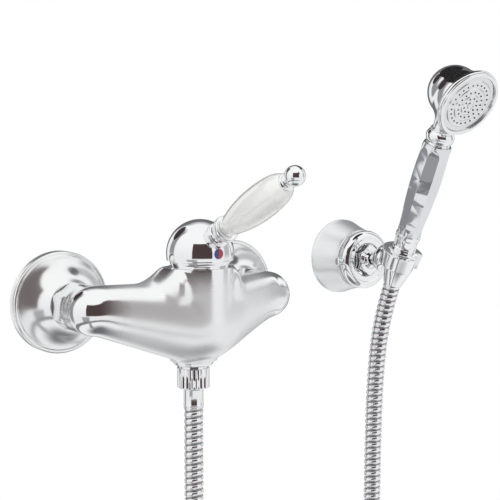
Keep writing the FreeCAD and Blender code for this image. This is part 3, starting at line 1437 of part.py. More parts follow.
def hose(hose_top, ring):
    """Two hanging legs and the coil between them, with the tie round two turns of the coil."""
    turns = coil_edges(0)
    coil_length = sum(edge.Length for edge in turns)
    top = ring.at(z=-s.cone_nut_foot).point()
    lean = math.radians(s.handset_lean.value)
    end_y = -s.outlet_out.value + s.coil_pitch.value / 2 * s.coil_half_turns.value
    first = top + FreeCAD.Vector(0, math.sin(lean), -math.cos(lean)) * HANG_FIRST
    second = FreeCAD.Vector(top.x, first.y + (end_y - first.y) * HANG_SHARE, top.z - HANG_SECOND)
    third = FreeCAD.Vector(top.x, end_y, top.z - HANG_THIRD)
    upper = [top, first, second, third]
    upper_length = sum((b - a).Length for a, b in zip(upper, upper[1:]))
    straight = s.hose_length.value - coil_length - upper_length
    low = (hose_top.z + third.z - straight) / 2
    bottom = FreeCAD.Vector(0, hose_top.y, low)
    left_edges = [Part.LineSegment(hose_top, bottom).toShape()]
    right_edges, radii = rounded_route(upper + [FreeCAD.Vector(top.x, end_y, low)])
    left_leg, left_ribs = ribbed_hose(left_edges)
    right_leg, right_ribs = ribbed_hose(right_edges)
    piece(shaped("leg_mixer", left_leg), "hose_leg_mixer")
    piece(shaped("leg_handset", right_leg), "hose_leg_handset")
    turns = coil_edges(low)
    down = FreeCAD.Vector(0, 0, -1)
    path = Part.Wire(turns)
    outer = path.makePipeShell([ring_wire(s.hose_radius.value, bottom, down)], True, False)
    inner = path.makePipeShell([ring_wire(s.hose_bore.value, bottom, down)], True, False)
    piece(shaped("coil", outer.cut(inner)), "hose_coil")
    gap = coil_gap(turns)
    length = sum(edge.Length for edge in left_edges + turns + right_edges)
    print(f"hose length {length:.1f}, ribs {left_ribs + right_ribs}, arc radii",
          [round(radius) for radius in radii], f"coil gap {gap:.2f}, lowest turn at z {low:.1f}")
    if gap < 0.4:
        raise RuntimeError("the coil's turns come too close together")
    piece(shaped("tie", tie_band(low)), "hose_tie")


def coil_gap(turns):
    """Least gap between different turns, measured on points of the centreline."""
    points = []
    for edge in turns:
        points.append(edge.discretize(Number=COIL_POINTS))
    least = None
    for index, early in enumerate(points):
        for late in points[index + 2:]:
            for a in early:
                near = min(a.distanceToPoint(b) for b in late)
                least = near if least is None else min(least, near)
    return least - s.hose_radius.value * 2


def tie_band(low):
    """A flat band round the two turns that pass on the mixer's side."""
    radius = s.hose_radius.value + s.part_gap.value
    height = s.tie_height.value
    near = FreeCAD.Vector(0, -s.outlet_out.value, low - height / 2)
    far = near + FreeCAD.Vector(0, s.coil_pitch.value, 0)
    outside = slot_solid(near, far, radius + s.tie_wall.value, height)
    return outside.cut(slot_solid(near, far, radius, height))


def slot_solid(near, far, radius, height):
    """An upright solid with round ends, from one centre to another along Y."""
    middle = Part.makeBox(radius * 2, (far - near).Length, height, near - FreeCAD.Vector(radius, 0, 0))
    ends = [Part.makeCylinder(radius, height, near), Part.makeCylinder(radius, height, far)]
    return middle.fuse(ends).removeSplitter()


# The hose's route below the upper nut, chosen by hand: first run, then heights below the nut,
# and the share of the way to the coil's plane that is done at the second point.
HANG_FIRST = 30
HANG_SECOND = 77
HANG_THIRD = 159
HANG_SHARE = 0.77
COIL_POINTS = 60


def build():
    bar = Frame(0, -s.bar_out, s.union_offset)
    column = Frame(0, -s.dome_out, s.union_offset)
    pivot = column.at(z=s.tilt_rise)
    outlet = Frame(0, -s.outlet_out, s.union_offset, 180)
    lever_axis = Frame(0, pivot.y, pivot.z + s.lever_rise, 90 - s.lever_lean)
    mixer_body(bar, outlet, column)
    for side, word in ((LEFT, "left"), (RIGHT, "right")):
        inlet = Frame(s.inlet_centres * (side * 0.5), 0, 0, 90)
        union(side, inlet, word)
        flange(inlet.at(y=s.union_offset), word)
        union_nut(inlet.at(y=s.union_offset), word)
    washers = []
    for side, word in ((LEFT, "left"), (RIGHT, "right")):
        place = Frame(s.inlet_centres * (side * 0.5), 0, s.union_offset, 90)
        washers.append(tube(f"inlet_washer_{word}", place, s.tail_collar, s.union_bore, s.union_reach,
                            s.union_reach + s.washer_thickness))
    piece(grouped("inlet_washer_pair", washers), "inlet_washers")
    disc_high, flange_low = cartridge(column)
    mixing_parts(column, disc_high, flange_low)
    shroud(pivot)
    dome(pivot)
    spindle(pivot)
    lever(pivot, lever_axis)
    hose_start = outlet_parts(outlet)
    wall = Frame(s.bracket_x, 0, s.bracket_rise, 90)
    bracket(wall)
    ball = Frame(s.bracket_x, -s.ball_out, s.bracket_rise, 90 - s.arm_lean)
    knuckle = ball.at(z=s.arm_length)
    ring = Frame(knuckle.x, knuckle.y - s.holder_out, knuckle.z + s.holder_rise, s.handset_lean)
    holder(ball, ring)
    upper_joint(ring)
    neck_low, tube_end = handset_handle(ring)
    collar_end = s.sleeve_top + s.sleeve_flange_length + s.barrel_length + s.bulge_length
    centre = ring.at(z=collar_end + s.head_beyond)
    centre = Frame(centre.x, centre.y, centre.z, s.face_tilt + 90)
    head(ring, centre, neck_low, tube_end)
    spray_face(centre)
    hose(outlet.at(z=hose_start).point(), ring)


def check_and_write():
    """Every object must be sound and every piece a valid shape before a file is written."""
    doc.recompute()
    for item in doc.Objects:
        if "Invalid" in item.State or "Error" in item.State:
            raise RuntimeError(f"{item.Label} failed: {item.State}")
    for item in pieces:
        if item.Shape.isNull() or not item.Shape.isValid() or not item.Shape.Solids:
            raise RuntimeError(f"{item.Label} has no valid shape")
    os.makedirs("parts", exist_ok=True)
    for item in pieces:
        item.Shape.exportStep(os.path.join("parts", item.Label + ".step"))
        print(f"{item.Label}: {len(item.Shape.Solids)} solid(s), {item.Shape.Volume:.1f} mm3")


build()
check_and_write()
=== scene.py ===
"""Shower mixer with hose, hand shower and swivel bracket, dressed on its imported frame."""

import cmath
import json
import math

import bmesh
import bpy
from mathutils import Matrix, Vector


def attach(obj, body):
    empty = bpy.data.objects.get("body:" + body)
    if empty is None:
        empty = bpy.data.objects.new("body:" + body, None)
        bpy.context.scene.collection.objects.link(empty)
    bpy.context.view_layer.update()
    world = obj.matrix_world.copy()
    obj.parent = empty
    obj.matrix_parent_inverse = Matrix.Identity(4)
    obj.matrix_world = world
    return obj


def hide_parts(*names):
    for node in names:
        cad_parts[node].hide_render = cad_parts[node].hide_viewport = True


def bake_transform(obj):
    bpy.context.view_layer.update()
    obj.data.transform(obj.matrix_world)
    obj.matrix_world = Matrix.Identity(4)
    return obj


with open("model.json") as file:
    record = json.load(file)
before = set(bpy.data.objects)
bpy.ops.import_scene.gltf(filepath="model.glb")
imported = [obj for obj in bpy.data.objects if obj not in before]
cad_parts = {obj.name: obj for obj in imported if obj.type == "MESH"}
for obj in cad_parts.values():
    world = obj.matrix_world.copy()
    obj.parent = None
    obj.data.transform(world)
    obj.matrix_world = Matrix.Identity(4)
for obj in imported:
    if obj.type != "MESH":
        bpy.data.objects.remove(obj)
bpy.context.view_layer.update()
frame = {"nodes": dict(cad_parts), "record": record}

bl_info = {
    "name": "Shower mixer",
    "version": (1, 0, 0),
    "blender": (4, 5, 0),
    "location": "View3D > Sidebar > Mixer",
    "description": "Models and finishes the visible pieces of a wall mixer with hand shower",
    "category": "Add Mesh",
}

MM = 0.001
nodes = frame["nodes"]
body_of = {
    node: body
    for body, members in frame["record"]["behaviour"]["bodies"].items()
    for node in members
}
slot_of = {entry["node"]: entry["material_slot"] for entry in frame["record"]["subparts"]}


class Place:
    """A point in millimetres and a turn about X in degrees; pieces are turned about its Z."""

    def __init__(self, x=0, y=0, z=0, turn=0, roll=0):
        self.x, self.y, self.z, self.turn, self.roll = x, y, z, turn, roll

    def at(self, y=0, z=0):
        lean = math.radians(self.turn)
        return Place(
            self.x, self.y + y * math.cos(lean) - z * math.sin(lean),
            self.z + y * math.sin(lean) + z * math.cos(lean), self.turn, self.roll,
        )

    def matrix(self):
        spot = Matrix.Translation(self.point())
        lean = Matrix.Rotation(math.radians(self.turn), 4, "X")
        return spot @ lean @ Matrix.Rotation(math.radians(self.roll), 4, "Z")

    def point(self):
        return Vector((self.x, self.y, self.z)) * MM


BAR = Place(0, -57, 8)
WALLS = {"left": Place(-75, 0, 8, 90), "right": Place(75, 0, 8, 90)}
COLUMN = Place(0, -80, 8)
PIVOT = Place(0, -80, 46.8)
OUTLET = Place(0, -70, 8, 180)
INDEX = Place(0, -80, 48.3, 90)
LEVER = Place(0, -80, 49.8, 63.5)
BRACKET = Place(193, 0, 25, 90)
BALL = Place(193, -35, 25, 83.5)
KNUCKLE = BALL.at(z=27)
RING = Place(193, KNUCKLE.y - 16, KNUCKLE.z + 2, 24)
HEAD = RING.at(z=145.5)
FACE = Place(HEAD.x, HEAD.y, HEAD.z, 121)


# Modelling with Blender's own operators.
def object_mode():
    bpy.ops.object.mode_set(mode="OBJECT")


def clear():
    """Nothing selected."""
    bpy.ops.object.select_all(action="DESELECT")


def activate(piece, *others):
    clear()
    for other in others:
        other.select_set(True)
    piece.select_set(True)
    bpy.context.view_layer.objects.active = piece
    return piece


def named(name):
    """The active object under its own name, with its mesh named alike."""
    piece = bpy.context.object
    piece.name = name
    piece.data.name = name
    return piece


def editing(piece, mode="VERT"):
    activate(piece)
    bpy.ops.object.mode_set(mode="EDIT")
    bpy.ops.mesh.select_mode(type=mode)
    bpy.ops.mesh.select_all(action="SELECT")


def settle(piece, place=None):
    """Puts the piece's place into its mesh."""
    activate(piece)
    if place is not None:
        piece.matrix_world = place.matrix() @ piece.matrix_world
        bpy.context.view_layer.update()
    bpy.ops.object.transform_apply(location=True, rotation=True, scale=True)
    return piece


def smooth(piece, angle=32):
    activate(piece)
    bpy.ops.object.shade_smooth_by_angle(angle=math.radians(angle))
    return piece


def modified(piece, kind, **settings):
    """Adds a modifier, sets it and applies it."""
    activate(piece)
    modifier = piece.modifiers.new(kind.title(), kind)
    for key, value in settings.items():
        setattr(modifier, key, value)
    bpy.ops.object.modifier_apply(modifier=modifier.name)
    return piece


def bevelled(piece, width, angle=28, segments=3):
    limit = math.radians(angle)
    return modified(
        piece, "BEVEL", width=width * MM, segments=segments, limit_method="ANGLE", angle_limit=limit
    )


def joined(name, parts):
    """Parts made one object under a name."""
    piece = activate(*parts)
    bpy.ops.object.join()
    piece.name = name
    return piece


def cleaned(piece, gap=1e-6):
    """Merges doubles and turns all faces outwards."""
    editing(piece)
    bpy.ops.mesh.remove_doubles(threshold=gap)
    bpy.ops.mesh.normals_make_consistent(inside=False)
    object_mode()
    return piece


def bow(swell, r, z):
    """A side of an outline that swells by an arc on its way to (r, z)."""
    return ("bow", swell, r, z)


def about(r, z):
    """A side of an outline that runs on an arc about the origin to (r, z)."""
    return ("about", 0, r, z)


def arc_through(start, middle, end, count):
    """Points on the arc through three points, without its start."""
    ratio = (end - start) / (middle - start)
    centre = start + (middle - start) * (ratio - abs(ratio) ** 2) / (2j * ratio.imag)
    spoke = start - centre
    halfway, sweep = (cmath.phase((point - centre) / spoke) for point in (middle, end))
    if halfway * sweep < 0 or abs(halfway) > abs(sweep):
        sweep += math.copysign(math.tau, halfway)
    return [centre + spoke * cmath.rect(1, sweep * n / count) for n in range(1, count + 1)]


def outline_points(outline, arc_steps):
    """Corners and arcs of an outline as complex numbers: the radius and, times 1j, the height."""
    points = []
    for *side, r, z in outline:
        end = complex(r, z)
        if not side:
            points.append(end)
            continue
        start = points[-1]
        if side[0] == "about":
            middle = (start + end) * abs(end) / abs(start + end)
        else:
            middle = (start + end) / 2 - 1j * side[1] * (end - start) / abs(end - start)
        points += arc_through(start, middle, end, arc_steps)
    return points


def turned(name, place, outline, steps=96, edge=0.35, arc_steps=10):
    """A piece turned about its place's Z from an outline of radius and height in millimetres."""
    points = outline_points(outline, arc_steps)
    if points[0].real > 1e-6 or points[-1].real > 1e-6:
        points.append(points[0])
    clear()
    bpy.ops.mesh.primitive_plane_add(size=0.01)
    piece = named(name)
    editing(piece)
    bpy.ops.mesh.merge(type="CENTER")
    bpy.ops.transform.translate(value=(points[0].real * MM, 0, points[0].imag * MM))
    for before, after in zip(points, points[1:]):
        step = (after - before) * MM
        bpy.ops.mesh.extrude_vertices_move(TRANSFORM_OT_translate={"value": (step.real, 0, step.imag)})
    bpy.ops.mesh.select_all(action="SELECT")
    bpy.ops.mesh.spin(steps=steps, angle=math.tau, center=(0, 0, 0), axis=(0, 0, 1))
    object_mode()
    settle(cleaned(piece, 2e-6), place)
    if edge:
        bevelled(piece, edge)
    return smooth(piece)


def ball(name, place, radius):
    clear()
    bpy.ops.mesh.primitive_uv_sphere_add(segments=64, ring_count=32, radius=radius * MM)
    return settle(named(name), place)


def drum(name, place, radius, low, high, sides=64, top_radius=None):
    """A cylinder, cone or prism along its place's Z, closed at both ends."""
    clear()
    bpy.ops.mesh.primitive_cone_add(
        vertices=sides, radius1=radius * MM, radius2=(radius if top_radius is None else top_radius) * MM,
        depth=(high - low) * MM, location=(0, 0, (high + low) / 2 * MM),
    )
    return settle(named(name), place)


def slab(name, place, width, depth, height, centre=(0, 0, 0)):
    clear()
    bpy.ops.mesh.primitive_cube_add(size=1, location=[c * MM for c in centre])
    piece = named(name)
    piece.scale = (width * MM, depth * MM, height * MM)
    return settle(piece, place)


def combined(piece, tool, operation="DIFFERENCE"):
    """A boolean with a tool, which is removed afterwards."""
    modified(piece, "BOOLEAN", object=tool, operation=operation, solver="EXACT")
    bpy.data.objects.remove(tool)
    return piece


def copied(piece, name, move):
    """A copy with its own mesh, moved in millimetres."""
    activate(piece)
    bpy.ops.object.duplicate(linked=False)
    copy = named(name)
    copy.location = Vector(move) * MM
    return settle(copy)


def dressed(piece, node=None, finish="chrome_mirror", body=None):
    """Gives a piece its finish, makes it ride, and lets it stand for a CAD node."""
    piece.data.materials.clear()
    piece.data.materials.append(finishes[finish])
    if node:
        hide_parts(node)
    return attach(piece, body or body_of[node])


def turned_part(name, node, place, outline, finish="chrome_mirror", **shaping):
    """A turned piece that stands for a CAD node; bright chrome unless said otherwise."""
    return dressed(turned(name, place, outline, **shaping), node, finish)


def hex_nut(name, node, place, size, outline, bore, edge):
    """A hexagon along its place's Z with turned corners and a bore, given as (radius, low, high)."""
    nut = drum(name, place, *size, 6)
    combined(nut, turned("rounding", place, outline, edge=0), "INTERSECT")
    combined(nut, drum("nut_room", place, *bore))
    return dressed(smooth(bevelled(nut, *edge), 30), node)


# Shader maths as expressions.
def add_node(tree, kind, settings=None, values=None):
    """One node of a type, with its settings, then its socket values or links by name or number."""
    node = tree.nodes.new(kind)
    for key, value in (settings or {}).items():
        setattr(node, key, value)
    for key, value in (values or {}).items():
        if isinstance(value, Wire):
            tree.links.new(value.socket, node.inputs[key])
        else:
            node.inputs[key].default_value = value
    return node


class Wire:
    """A socket in a node tree; arithmetic on it adds Math nodes."""

    def __init__(self, tree, socket):
        self.tree, self.socket = tree, socket

    def maths(self, operation, first, second=0.5):
        node = add_node(self.tree, "ShaderNodeMath", {"operation": operation}, {0: first, 1: second})
        return Wire(self.tree, node.outputs[0])

    def __add__(self, other):
        return self.maths("ADD", self, other)

    def __sub__(self, other):
        return self.maths("SUBTRACT", self, other)

    def __rsub__(self, other):
        return self.maths("SUBTRACT", other, self)

    def __mul__(self, other):
        return self.maths("MULTIPLY", self, other)

    def __pow__(self, other):
        return self.maths("POWER", self, other)

    __radd__ = __add__
    __rmul__ = __mul__

    def above(self, edge, soft):
        """0 below the edge and 1 above it, with a soft step."""
        values = {"Value": self, "From Min": edge - soft, "From Max": edge + soft}
        step = {"interpolation_type": "SMOOTHSTEP"}
        return Wire(self.tree, add_node(self.tree, "ShaderNodeMapRange", step, values).outputs["Result"])

    def between(self, low, high, soft):
        return self.above(low, soft) * (1 - self.above(high, soft))


class Paint:
    """Builds the nodes of one material or world."""

    def __init__(self, tree):
        self.tree = tree
        self.tree.nodes.clear()

    def node(self, kind, settings=None, **values):
        named_values = {key.replace("_", " "): value for key, value in values.items()}
        return add_node(self.tree, kind, settings, named_values)

    def wire(self, kind, settings=None, output=0, **values):
        """An output of a new node."""
        return Wire(self.tree, self.node(kind, settings, **values).outputs[output])

    def mapped(self, vector, kind, **values):
        """A vector moved by a Mapping node."""
        return self.wire("ShaderNodeMapping", {"vector_type": kind}, Vector=vector, **values)

    def place_on_piece(self):
        return self.wire("ShaderNodeTexCoord", output="Object")

    def position(self, centre=(0, 0, 0)):
        """Object coordinates, centred in millimetres on a place of the piece."""
        return self.mapped(self.place_on_piece(), "POINT", Location=[-c * MM for c in centre])

    def parts(self, vector):
        node = self.node("ShaderNodeSeparateXYZ", Vector=vector)
        return [Wire(self.tree, output) for output in node.outputs]

    def noise(self, vector, scale, detail=3):
        return self.wire("ShaderNodeTexNoise", Vector=vector, Scale=scale, Detail=detail)

    def blend(self, factor, first, second):
        """Mixes two colours."""
        first, second = (c if isinstance(c, Wire) else (*c, 1) for c in (first, second))
        values = {0: factor, 6: first, 7: second}
        node = add_node(self.tree, "ShaderNodeMix", {"data_type": "RGBA"}, values)
        return Wire(self.tree, node.outputs[2])

    def bump(self, height, strength, distance):
        return self.wire("ShaderNodeBump", Height=height, Strength=strength, Distance=distance)

    def shader(self, **values):
        surface = self.wire("ShaderNodeBsdfPrincipled", **values)
        self.node("ShaderNodeOutputMaterial", Surface=surface)


finishes = {}


def painted(name):
    """A new material under a name, with the builder of its nodes."""
    material = bpy.data.materials.new(name)
    material.use_nodes = True
    return material, Paint(material.node_tree)


def finish(name, slot):
    """A new finish under a name; its slot argument, one of the record's slots, is not used."""
    finishes[name], paint = painted(name)
    return paint


def metal_finish(name, slot, colour, shade, rough, spread, grain=900, dent=0.0006, metal=1):
    """Polished or satin metal: faint cloudiness in colour and gloss, and a barely uneven skin."""
    paint = finish(name, slot)
    here = paint.position()
    cloud = paint.noise(here, 38, 2)
    fine = paint.noise(here, grain, 2)
    tone = paint.blend(cloud, colour, shade)
    gloss = rough + spread * cloud + spread * 0.35 * fine
    skin = paint.bump(cloud + 0.03 * fine, 0.25, dent)
    paint.shader(Base_Color=tone, Metallic=metal, Roughness=gloss, Normal=skin)


def cast_finish(colour, shade):
    """Chrome on the cast body: mirror bright at the elbows, softer on the broad flanks."""
    paint = finish("chrome_cast", "chrome")
    here = paint.position()
    x, _, z = paint.parts(here)
    cloud = paint.noise(here, 38, 2)
    tone = paint.blend(cloud, colour, shade)
    flank = (1 - x.maths("ABSOLUTE", x).above(0.066, 0.014)) * (1 - z.above(0.03, 0.012))
    paint.shader(
        Base_Color=tone, Metallic=1 - 0.38 * flank, Roughness=0.07 + 0.2 * flank + 0.04 * cloud,
        Normal=paint.bump(cloud, 0.25, 0.0006),
    )


def gloss_finish(name, slot, colour, shade, rough, coat, grain=260, ripple=0.0002):
    """Glazed or moulded gloss: slow tone change, fine ripple and a clear coat."""
    paint = finish(name, slot)
    here = paint.position()
    cloud = paint.noise(here, 22, 2)
    fine = paint.noise(here, grain, 3)
    tone = paint.blend(cloud, colour, shade)
    skin = paint.bump(cloud + 0.15 * fine, 0.3, ripple)
    paint.shader(
        Base_Color=tone, Roughness=rough + 0.05 * fine, Normal=skin, Coat_Weight=coat,
        Coat_Roughness=0.04,
    )


def hose_finish():
    """Ribbed hose: bright ridges, grooves darkened with painted shade and duller, from the ring's own
    attribute.
    """
    paint = finish("hose_groove_shaded", "hose_metal")
    ridge = paint.wire("ShaderNodeAttribute", {"attribute_name": "ridge"}, "Fac")
    here = paint.position()
    cloud = paint.noise(here, 60, 2)
    # Painted shade: where the crest is low, the base colour drops from the bright 0.90 to a dark 0.30 in
    # the grooves.
    height = ridge.above(0.42, 0.4)
    tone = paint.blend(height, (0.30, 0.30, 0.31), (0.90, 0.90, 0.91))
    gloss = 0.30 - 0.2 * height + 0.05 * cloud
    paint.shader(Base_Color=tone, Metallic=1, Roughness=gloss, Normal=paint.bump(cloud, 0.2, 0.0004))


def index_finish(ring_radius, half_radius):
    """White surround with a blue half at the left and a red half at the right."""
    paint = finish("index_colours", "index")
    x, _, z = paint.parts(paint.position((INDEX.x, INDEX.y, INDEX.z)))
    reach = (x * x + z * z) ** 0.5
    inside = 1 - reach.above(half_radius * MM, 0.00008)
    right = x.above(0, 0.00008)
    halves = paint.blend(right, (0.015, 0.04, 0.22), (0.42, 0.025, 0.05))
    tone = paint.blend(inside, (0.9, 0.9, 0.88), halves)
    step = reach.between(half_radius * MM, ring_radius * MM, 0.0001)
    fine = paint.noise(paint.position(), 500, 2)
    paint.shader(
        Base_Color=tone, Roughness=0.2 + 0.08 * fine, Coat_Weight=0.6,
        Normal=paint.bump(step + 0.1 * fine, 0.3, 0.0002),
    )


def satin_plate_finish():
    """Spray plate: satin light metal with fine turned circles about its middle."""
    paint = finish("plate_satin", "satin_chrome")
    lean = math.radians(-FACE.turn)
    coordinates = paint.place_on_piece()
    moved = paint.mapped(coordinates, "TEXTURE", Location=FACE.point(), Rotation=(-lean, 0, 0))
    x, y, _ = paint.parts(moved)
    reach = (x * x + y * y) ** 0.5
    turns = reach * (math.tau / 0.00045)
    wave = turns.maths("SINE", turns)
    cloud = paint.noise(coordinates, 90, 2)
    tone = paint.blend(cloud, (0.88, 0.88, 0.89), (0.8, 0.81, 0.82))
    paint.shader(
        Base_Color=tone, Metallic=0.8, Roughness=0.14 + 0.06 * cloud,
        Normal=paint.bump(wave, 0.04, 0.00004),
    )


def make_finishes(settings):
    bright = (settings.chrome, settings.chrome_shade)
    metal_finish("chrome_mirror", "chrome", *bright, 0.035, 0.03)
    metal_finish("chrome_soft", "chrome", *bright, 0.15, 0.05, metal=0.9)
    # Painted shade: the grip's chrome is a darker copy of the bright chrome so that the grip reads
    # greyer; its ripples come from the bump.
    metal_finish("chrome_wavy_shaded", "chrome", (0.84, 0.85, 0.86), (0.76, 0.77, 0.79), 0.06, 0.03, 260, 0.0016)
    metal_finish("chrome_pale", "chrome", (0.88, 0.89, 0.9), (0.84, 0.85, 0.86), 0.28, 0.05, metal=0.8)
    cast_finish(*bright)
    metal_finish("chrome_edge", "chrome", *bright, 0.07, 0.04)
    metal_finish("satin_steel", "satin_chrome", (0.72, 0.73, 0.74), (0.62, 0.63, 0.65), 0.22, 0.08)
    metal_finish("raw_brass", "brass", (0.72, 0.55, 0.27), (0.62, 0.45, 0.2), 0.28, 0.12)
    metal_finish("bright_steel", "steel", (0.62, 0.62, 0.63), (0.5, 0.5, 0.52), 0.25, 0.1)
    gloss_finish("white_glaze", "glazed_ceramic", settings.glaze, settings.glaze_shade, 0.1, 1)
    gloss_finish("valve_white", "valve_plastic", (0.78, 0.78, 0.75), (0.7, 0.7, 0.68), 0.35, 0.1)
    gloss_finish("lapped_disc", "valve_ceramic", (0.85, 0.85, 0.82), (0.78, 0.78, 0.75), 0.15, 0.5)
    gloss_finish("seal_rubber", "rubber", (0.035, 0.035, 0.035), (0.05, 0.05, 0.05), 0.6, 0)
    gloss_finish("tie_plastic", "tie", (0.12, 0.12, 0.13), (0.09, 0.09, 0.1), 0.45, 0.1)
    hose_finish()
    index_finish(4, 3.7)
    satin_plate_finish()


carried_finish = {
    "chrome": "chrome_edge",
    "satin_chrome": "satin_steel",
    "hose_metal": "satin_steel",
    "brass": "raw_brass",
    "steel": "bright_steel",
    "rubber": "seal_rubber",
    "valve_plastic": "valve_white",
    "valve_ceramic": "lapped_disc",
    "glazed_ceramic": "white_glaze",
    "index": "index_colours",
    "tie": "tie_plastic",
}


# The studio: floor, light, what the chrome mirrors, and the camera.
CAMERA_SPOT = Vector((-0.4774, -0.8386, 0.1453))
CAMERA_LOOK = Vector((0.05729, -0.06, 0.04368))
FLOOR_MIDDLE = (0.08, -0.1, -0.431)
OVERHEAD_SPOT = (0.205, -0.11, 0.285)
LAMP_SPOT = Vector((-0.75, -0.95, 1.15))
LAMP_LOOK = Vector((0.08, -0.08, 0))
# Cards that polished metal sees: their sides and their rise in degrees with softness, and the colour.
CARDS = (
    ((-124, -98, 4), (-30, 55, 8), (0.30, 0.30, 0.31)),
    ((92, 118, 5), (-10, 50, 8), (0.50, 0.50, 0.51)),
    ((-46, -8, 4), (-60, -17, 2), (0.36, 0.36, 0.37)),
    ((-25, 44, 1), (-14, 36, 1), (0.075, 0.05, 0.05)),
)


def studio_light(plain):
    """A world that is white to the camera and shows polished metal a studio with dark cards."""
    world = bpy.data.worlds.new("studio")
    bpy.context.scene.world = world
    world.use_nodes = True
    paint = Paint(world.node_tree)
    direction = paint.wire("ShaderNodeTexCoord", output="Generated")
    sight = (CAMERA_LOOK - CAMERA_SPOT).normalized()
    across = sight.cross(Vector((0, 0, 1))).normalized()
    back = Vector((-sight.x, -sight.y, 0)).normalized()

    def along(axis):
        values = {0: direction, 1: axis}
        node = add_node(paint.tree, "ShaderNodeVectorMath", {"operation": "DOT_PRODUCT"}, values)
        return Wire(paint.tree, node.outputs["Value"])

    sideways = along(across)
    towards = along(back)
    side = sideways.maths("ARCTAN2", sideways, towards) * (180 / math.pi)
    rise = along(Vector((0, 0, 1)))
    rise = rise.maths("ARCSINE", rise) * (180 / math.pi)
    haze = 1 - rise.above(6, 40)
    rear_card = (1 - side.between(-148, 148, 6)) * rise.between(-25, 50, 16)
    wedge_middle = (sight * 0.48 - across * 0.64 + Vector((0, 0, 0.6))).normalized()
    shown = paint.blend(haze, (1, 1, 1), (0.86, 0.865, 0.87))
    shown = paint.blend(rear_card, shown, (0.16, 0.16, 0.17))
    for sides, heights, colour in CARDS:
        shown = paint.blend(side.between(*sides) * rise.between(*heights), shown, colour)
    shown = paint.blend(along(wedge_middle).above(0.965, 0.004), shown, (0.05, 0.04, 0.04))
    to_camera = paint.wire("ShaderNodeLightPath", output="Is Camera Ray")
    mirrored = paint.wire("ShaderNodeLightPath", output="Is Glossy Ray")
    seen = paint.blend(mirrored, paint.blend(to_camera, (plain,) * 3, (1, 1, 1)), shown)
    background = paint.wire("ShaderNodeBackground", Color=seen, Strength=1)
    paint.node("ShaderNodeOutputWorld", Surface=background)


def floor_finish():
    """Pale floor with faint cloudiness; polished metal sees a grey patch, ring and strip on it."""
    material, paint = painted("pale_floor")
    cloud = paint.noise(paint.position(), 3, 2)
    tone = paint.blend(cloud, (0.93, 0.93, 0.93), (0.9, 0.9, 0.9))
    surface = paint.wire("ShaderNodeBsdfPrincipled", Base_Color=tone, Roughness=0.75)
    mirrored = paint.wire("ShaderNodeLightPath", output="Is Glossy Ray")
    x, y, _ = paint.parts(paint.position((80, -100, 0)))
    reach = (x * x + y * y) ** 0.5
    seen = paint.blend(reach.above(0.24, 0.12), (0.16, 0.16, 0.17), (0.93, 0.93, 0.94))
    ring = paint.blend(x.above(0.1, 0.3), (0.22, 0.22, 0.23), (0.90, 0.90, 0.91))
    seen = paint.blend(reach.between(0.53, 0.71, 0.02), seen, ring)
    strip = (x * 0.686 - y * 0.728).between(-0.168, -0.068, 0.006) * (1 - y.above(-0.05, 0.02))
    seen = paint.blend(strip, seen, (0.32, 0.32, 0.33))
    glow = paint.wire("ShaderNodeEmission", Color=seen, Strength=1)
    mix = add_node(paint.tree, "ShaderNodeMixShader", None, {0: mirrored, 1: surface, 2: glow})
    paint.node("ShaderNodeOutputMaterial", Surface=Wire(paint.tree, mix.outputs[0]))
    return material


def card_finish():
    """Dark card over the hand shower; only polished metal sees it."""
    material, paint = painted("dark_card")
    cloud = paint.noise(paint.position(), 20, 2)
    tone = paint.blend(cloud, (0.012, 0.012, 0.013), (0.02, 0.02, 0.022))
    paint.shader(Base_Color=tone, Roughness=0.9)
    return material


def flat_disc(name, corners, radius, spot, material):
    """A flat disc that is staging and no piece of the part."""
    clear()
    bpy.ops.mesh.primitive_circle_add(vertices=corners, radius=radius, fill_type="NGON", location=spot)
    disc = settle(named(name))
    disc.data.materials.append(material)
    return disc


class MIXER_OT_stage(bpy.types.Operator):
    """Adds the floor, the light and the camera at the photograph's viewing angle"""

    bl_idname = "mixer.stage"
    bl_label = "Stage"

    def execute(self, context):
        settings = context.scene.mixer_settings
        studio_light(settings.plain_light)
        flat_disc("floor", 128, 0.7, FLOOR_MIDDLE, floor_finish())
        card = flat_disc("overhead_card", 64, 0.1, OVERHEAD_SPOT, card_finish())
        card.visible_camera = card.visible_diffuse = card.visible_shadow = False
        clear()
        bpy.ops.object.light_add(type="AREA", location=LAMP_SPOT)
        lamp = bpy.context.object
        lamp.data.shape = "DISK"
        lamp.data.size = 0.7
        lamp.data.energy = settings.lamp_power
        lamp.visible_glossy = False
        lamp.rotation_euler = (LAMP_LOOK - LAMP_SPOT).to_track_quat("-Z", "Y").to_euler()
        bpy.ops.object.camera_add(location=CAMERA_SPOT)
        camera = bpy.context.object
        camera.rotation_euler = (CAMERA_LOOK - CAMERA_SPOT).to_track_quat("-Z", "Y").to_euler()
        camera.data.sensor_width = 36
        camera.data.lens = settings.lens
        camera.data.clip_start = 0.01
        camera.data.dof.use_dof = False
        context.scene.camera = camera
        context.scene.view_settings.view_transform = "Standard"
        return {"FINISHED"}


# The hose.
HOSE_RADIUS = 7
HOSE_GROOVE = 6.1
COIL_LEVEL = -322.9
COIL_MIDDLE = 96.5
COIL_RADIUS = 97.4
COIL_START = -70
COIL_STEP = 8.3
LEG_LEFT = [(0, COIL_START, -68.5), (0, COIL_START, COIL_LEVEL)]
LEG_RIGHT = [
    (BRACKET.x, y, z)
    for y, z in ((-45.1, COIL_LEVEL), (-45.1, -149.95), (-47.7, -67.95), (-56.3, -18.4), (-68.5, 9.05))
]


def coil_points():
    """The three half turns, 12 points each, a little wide because the spline cuts inside."""
    points = []
    for half in range(3):
        out = (-1) ** half
        for step in range(12):
            turn = math.radians(15 * step + 7.5)
            x = COIL_MIDDLE - out * COIL_RADIUS * math.cos(turn)
            y = COIL_START + COIL_STEP * (half + (1 - math.cos(turn)) / 2)
            points.append((x, y, COIL_LEVEL - out * COIL_RADIUS * math.sin(turn)))
    return points


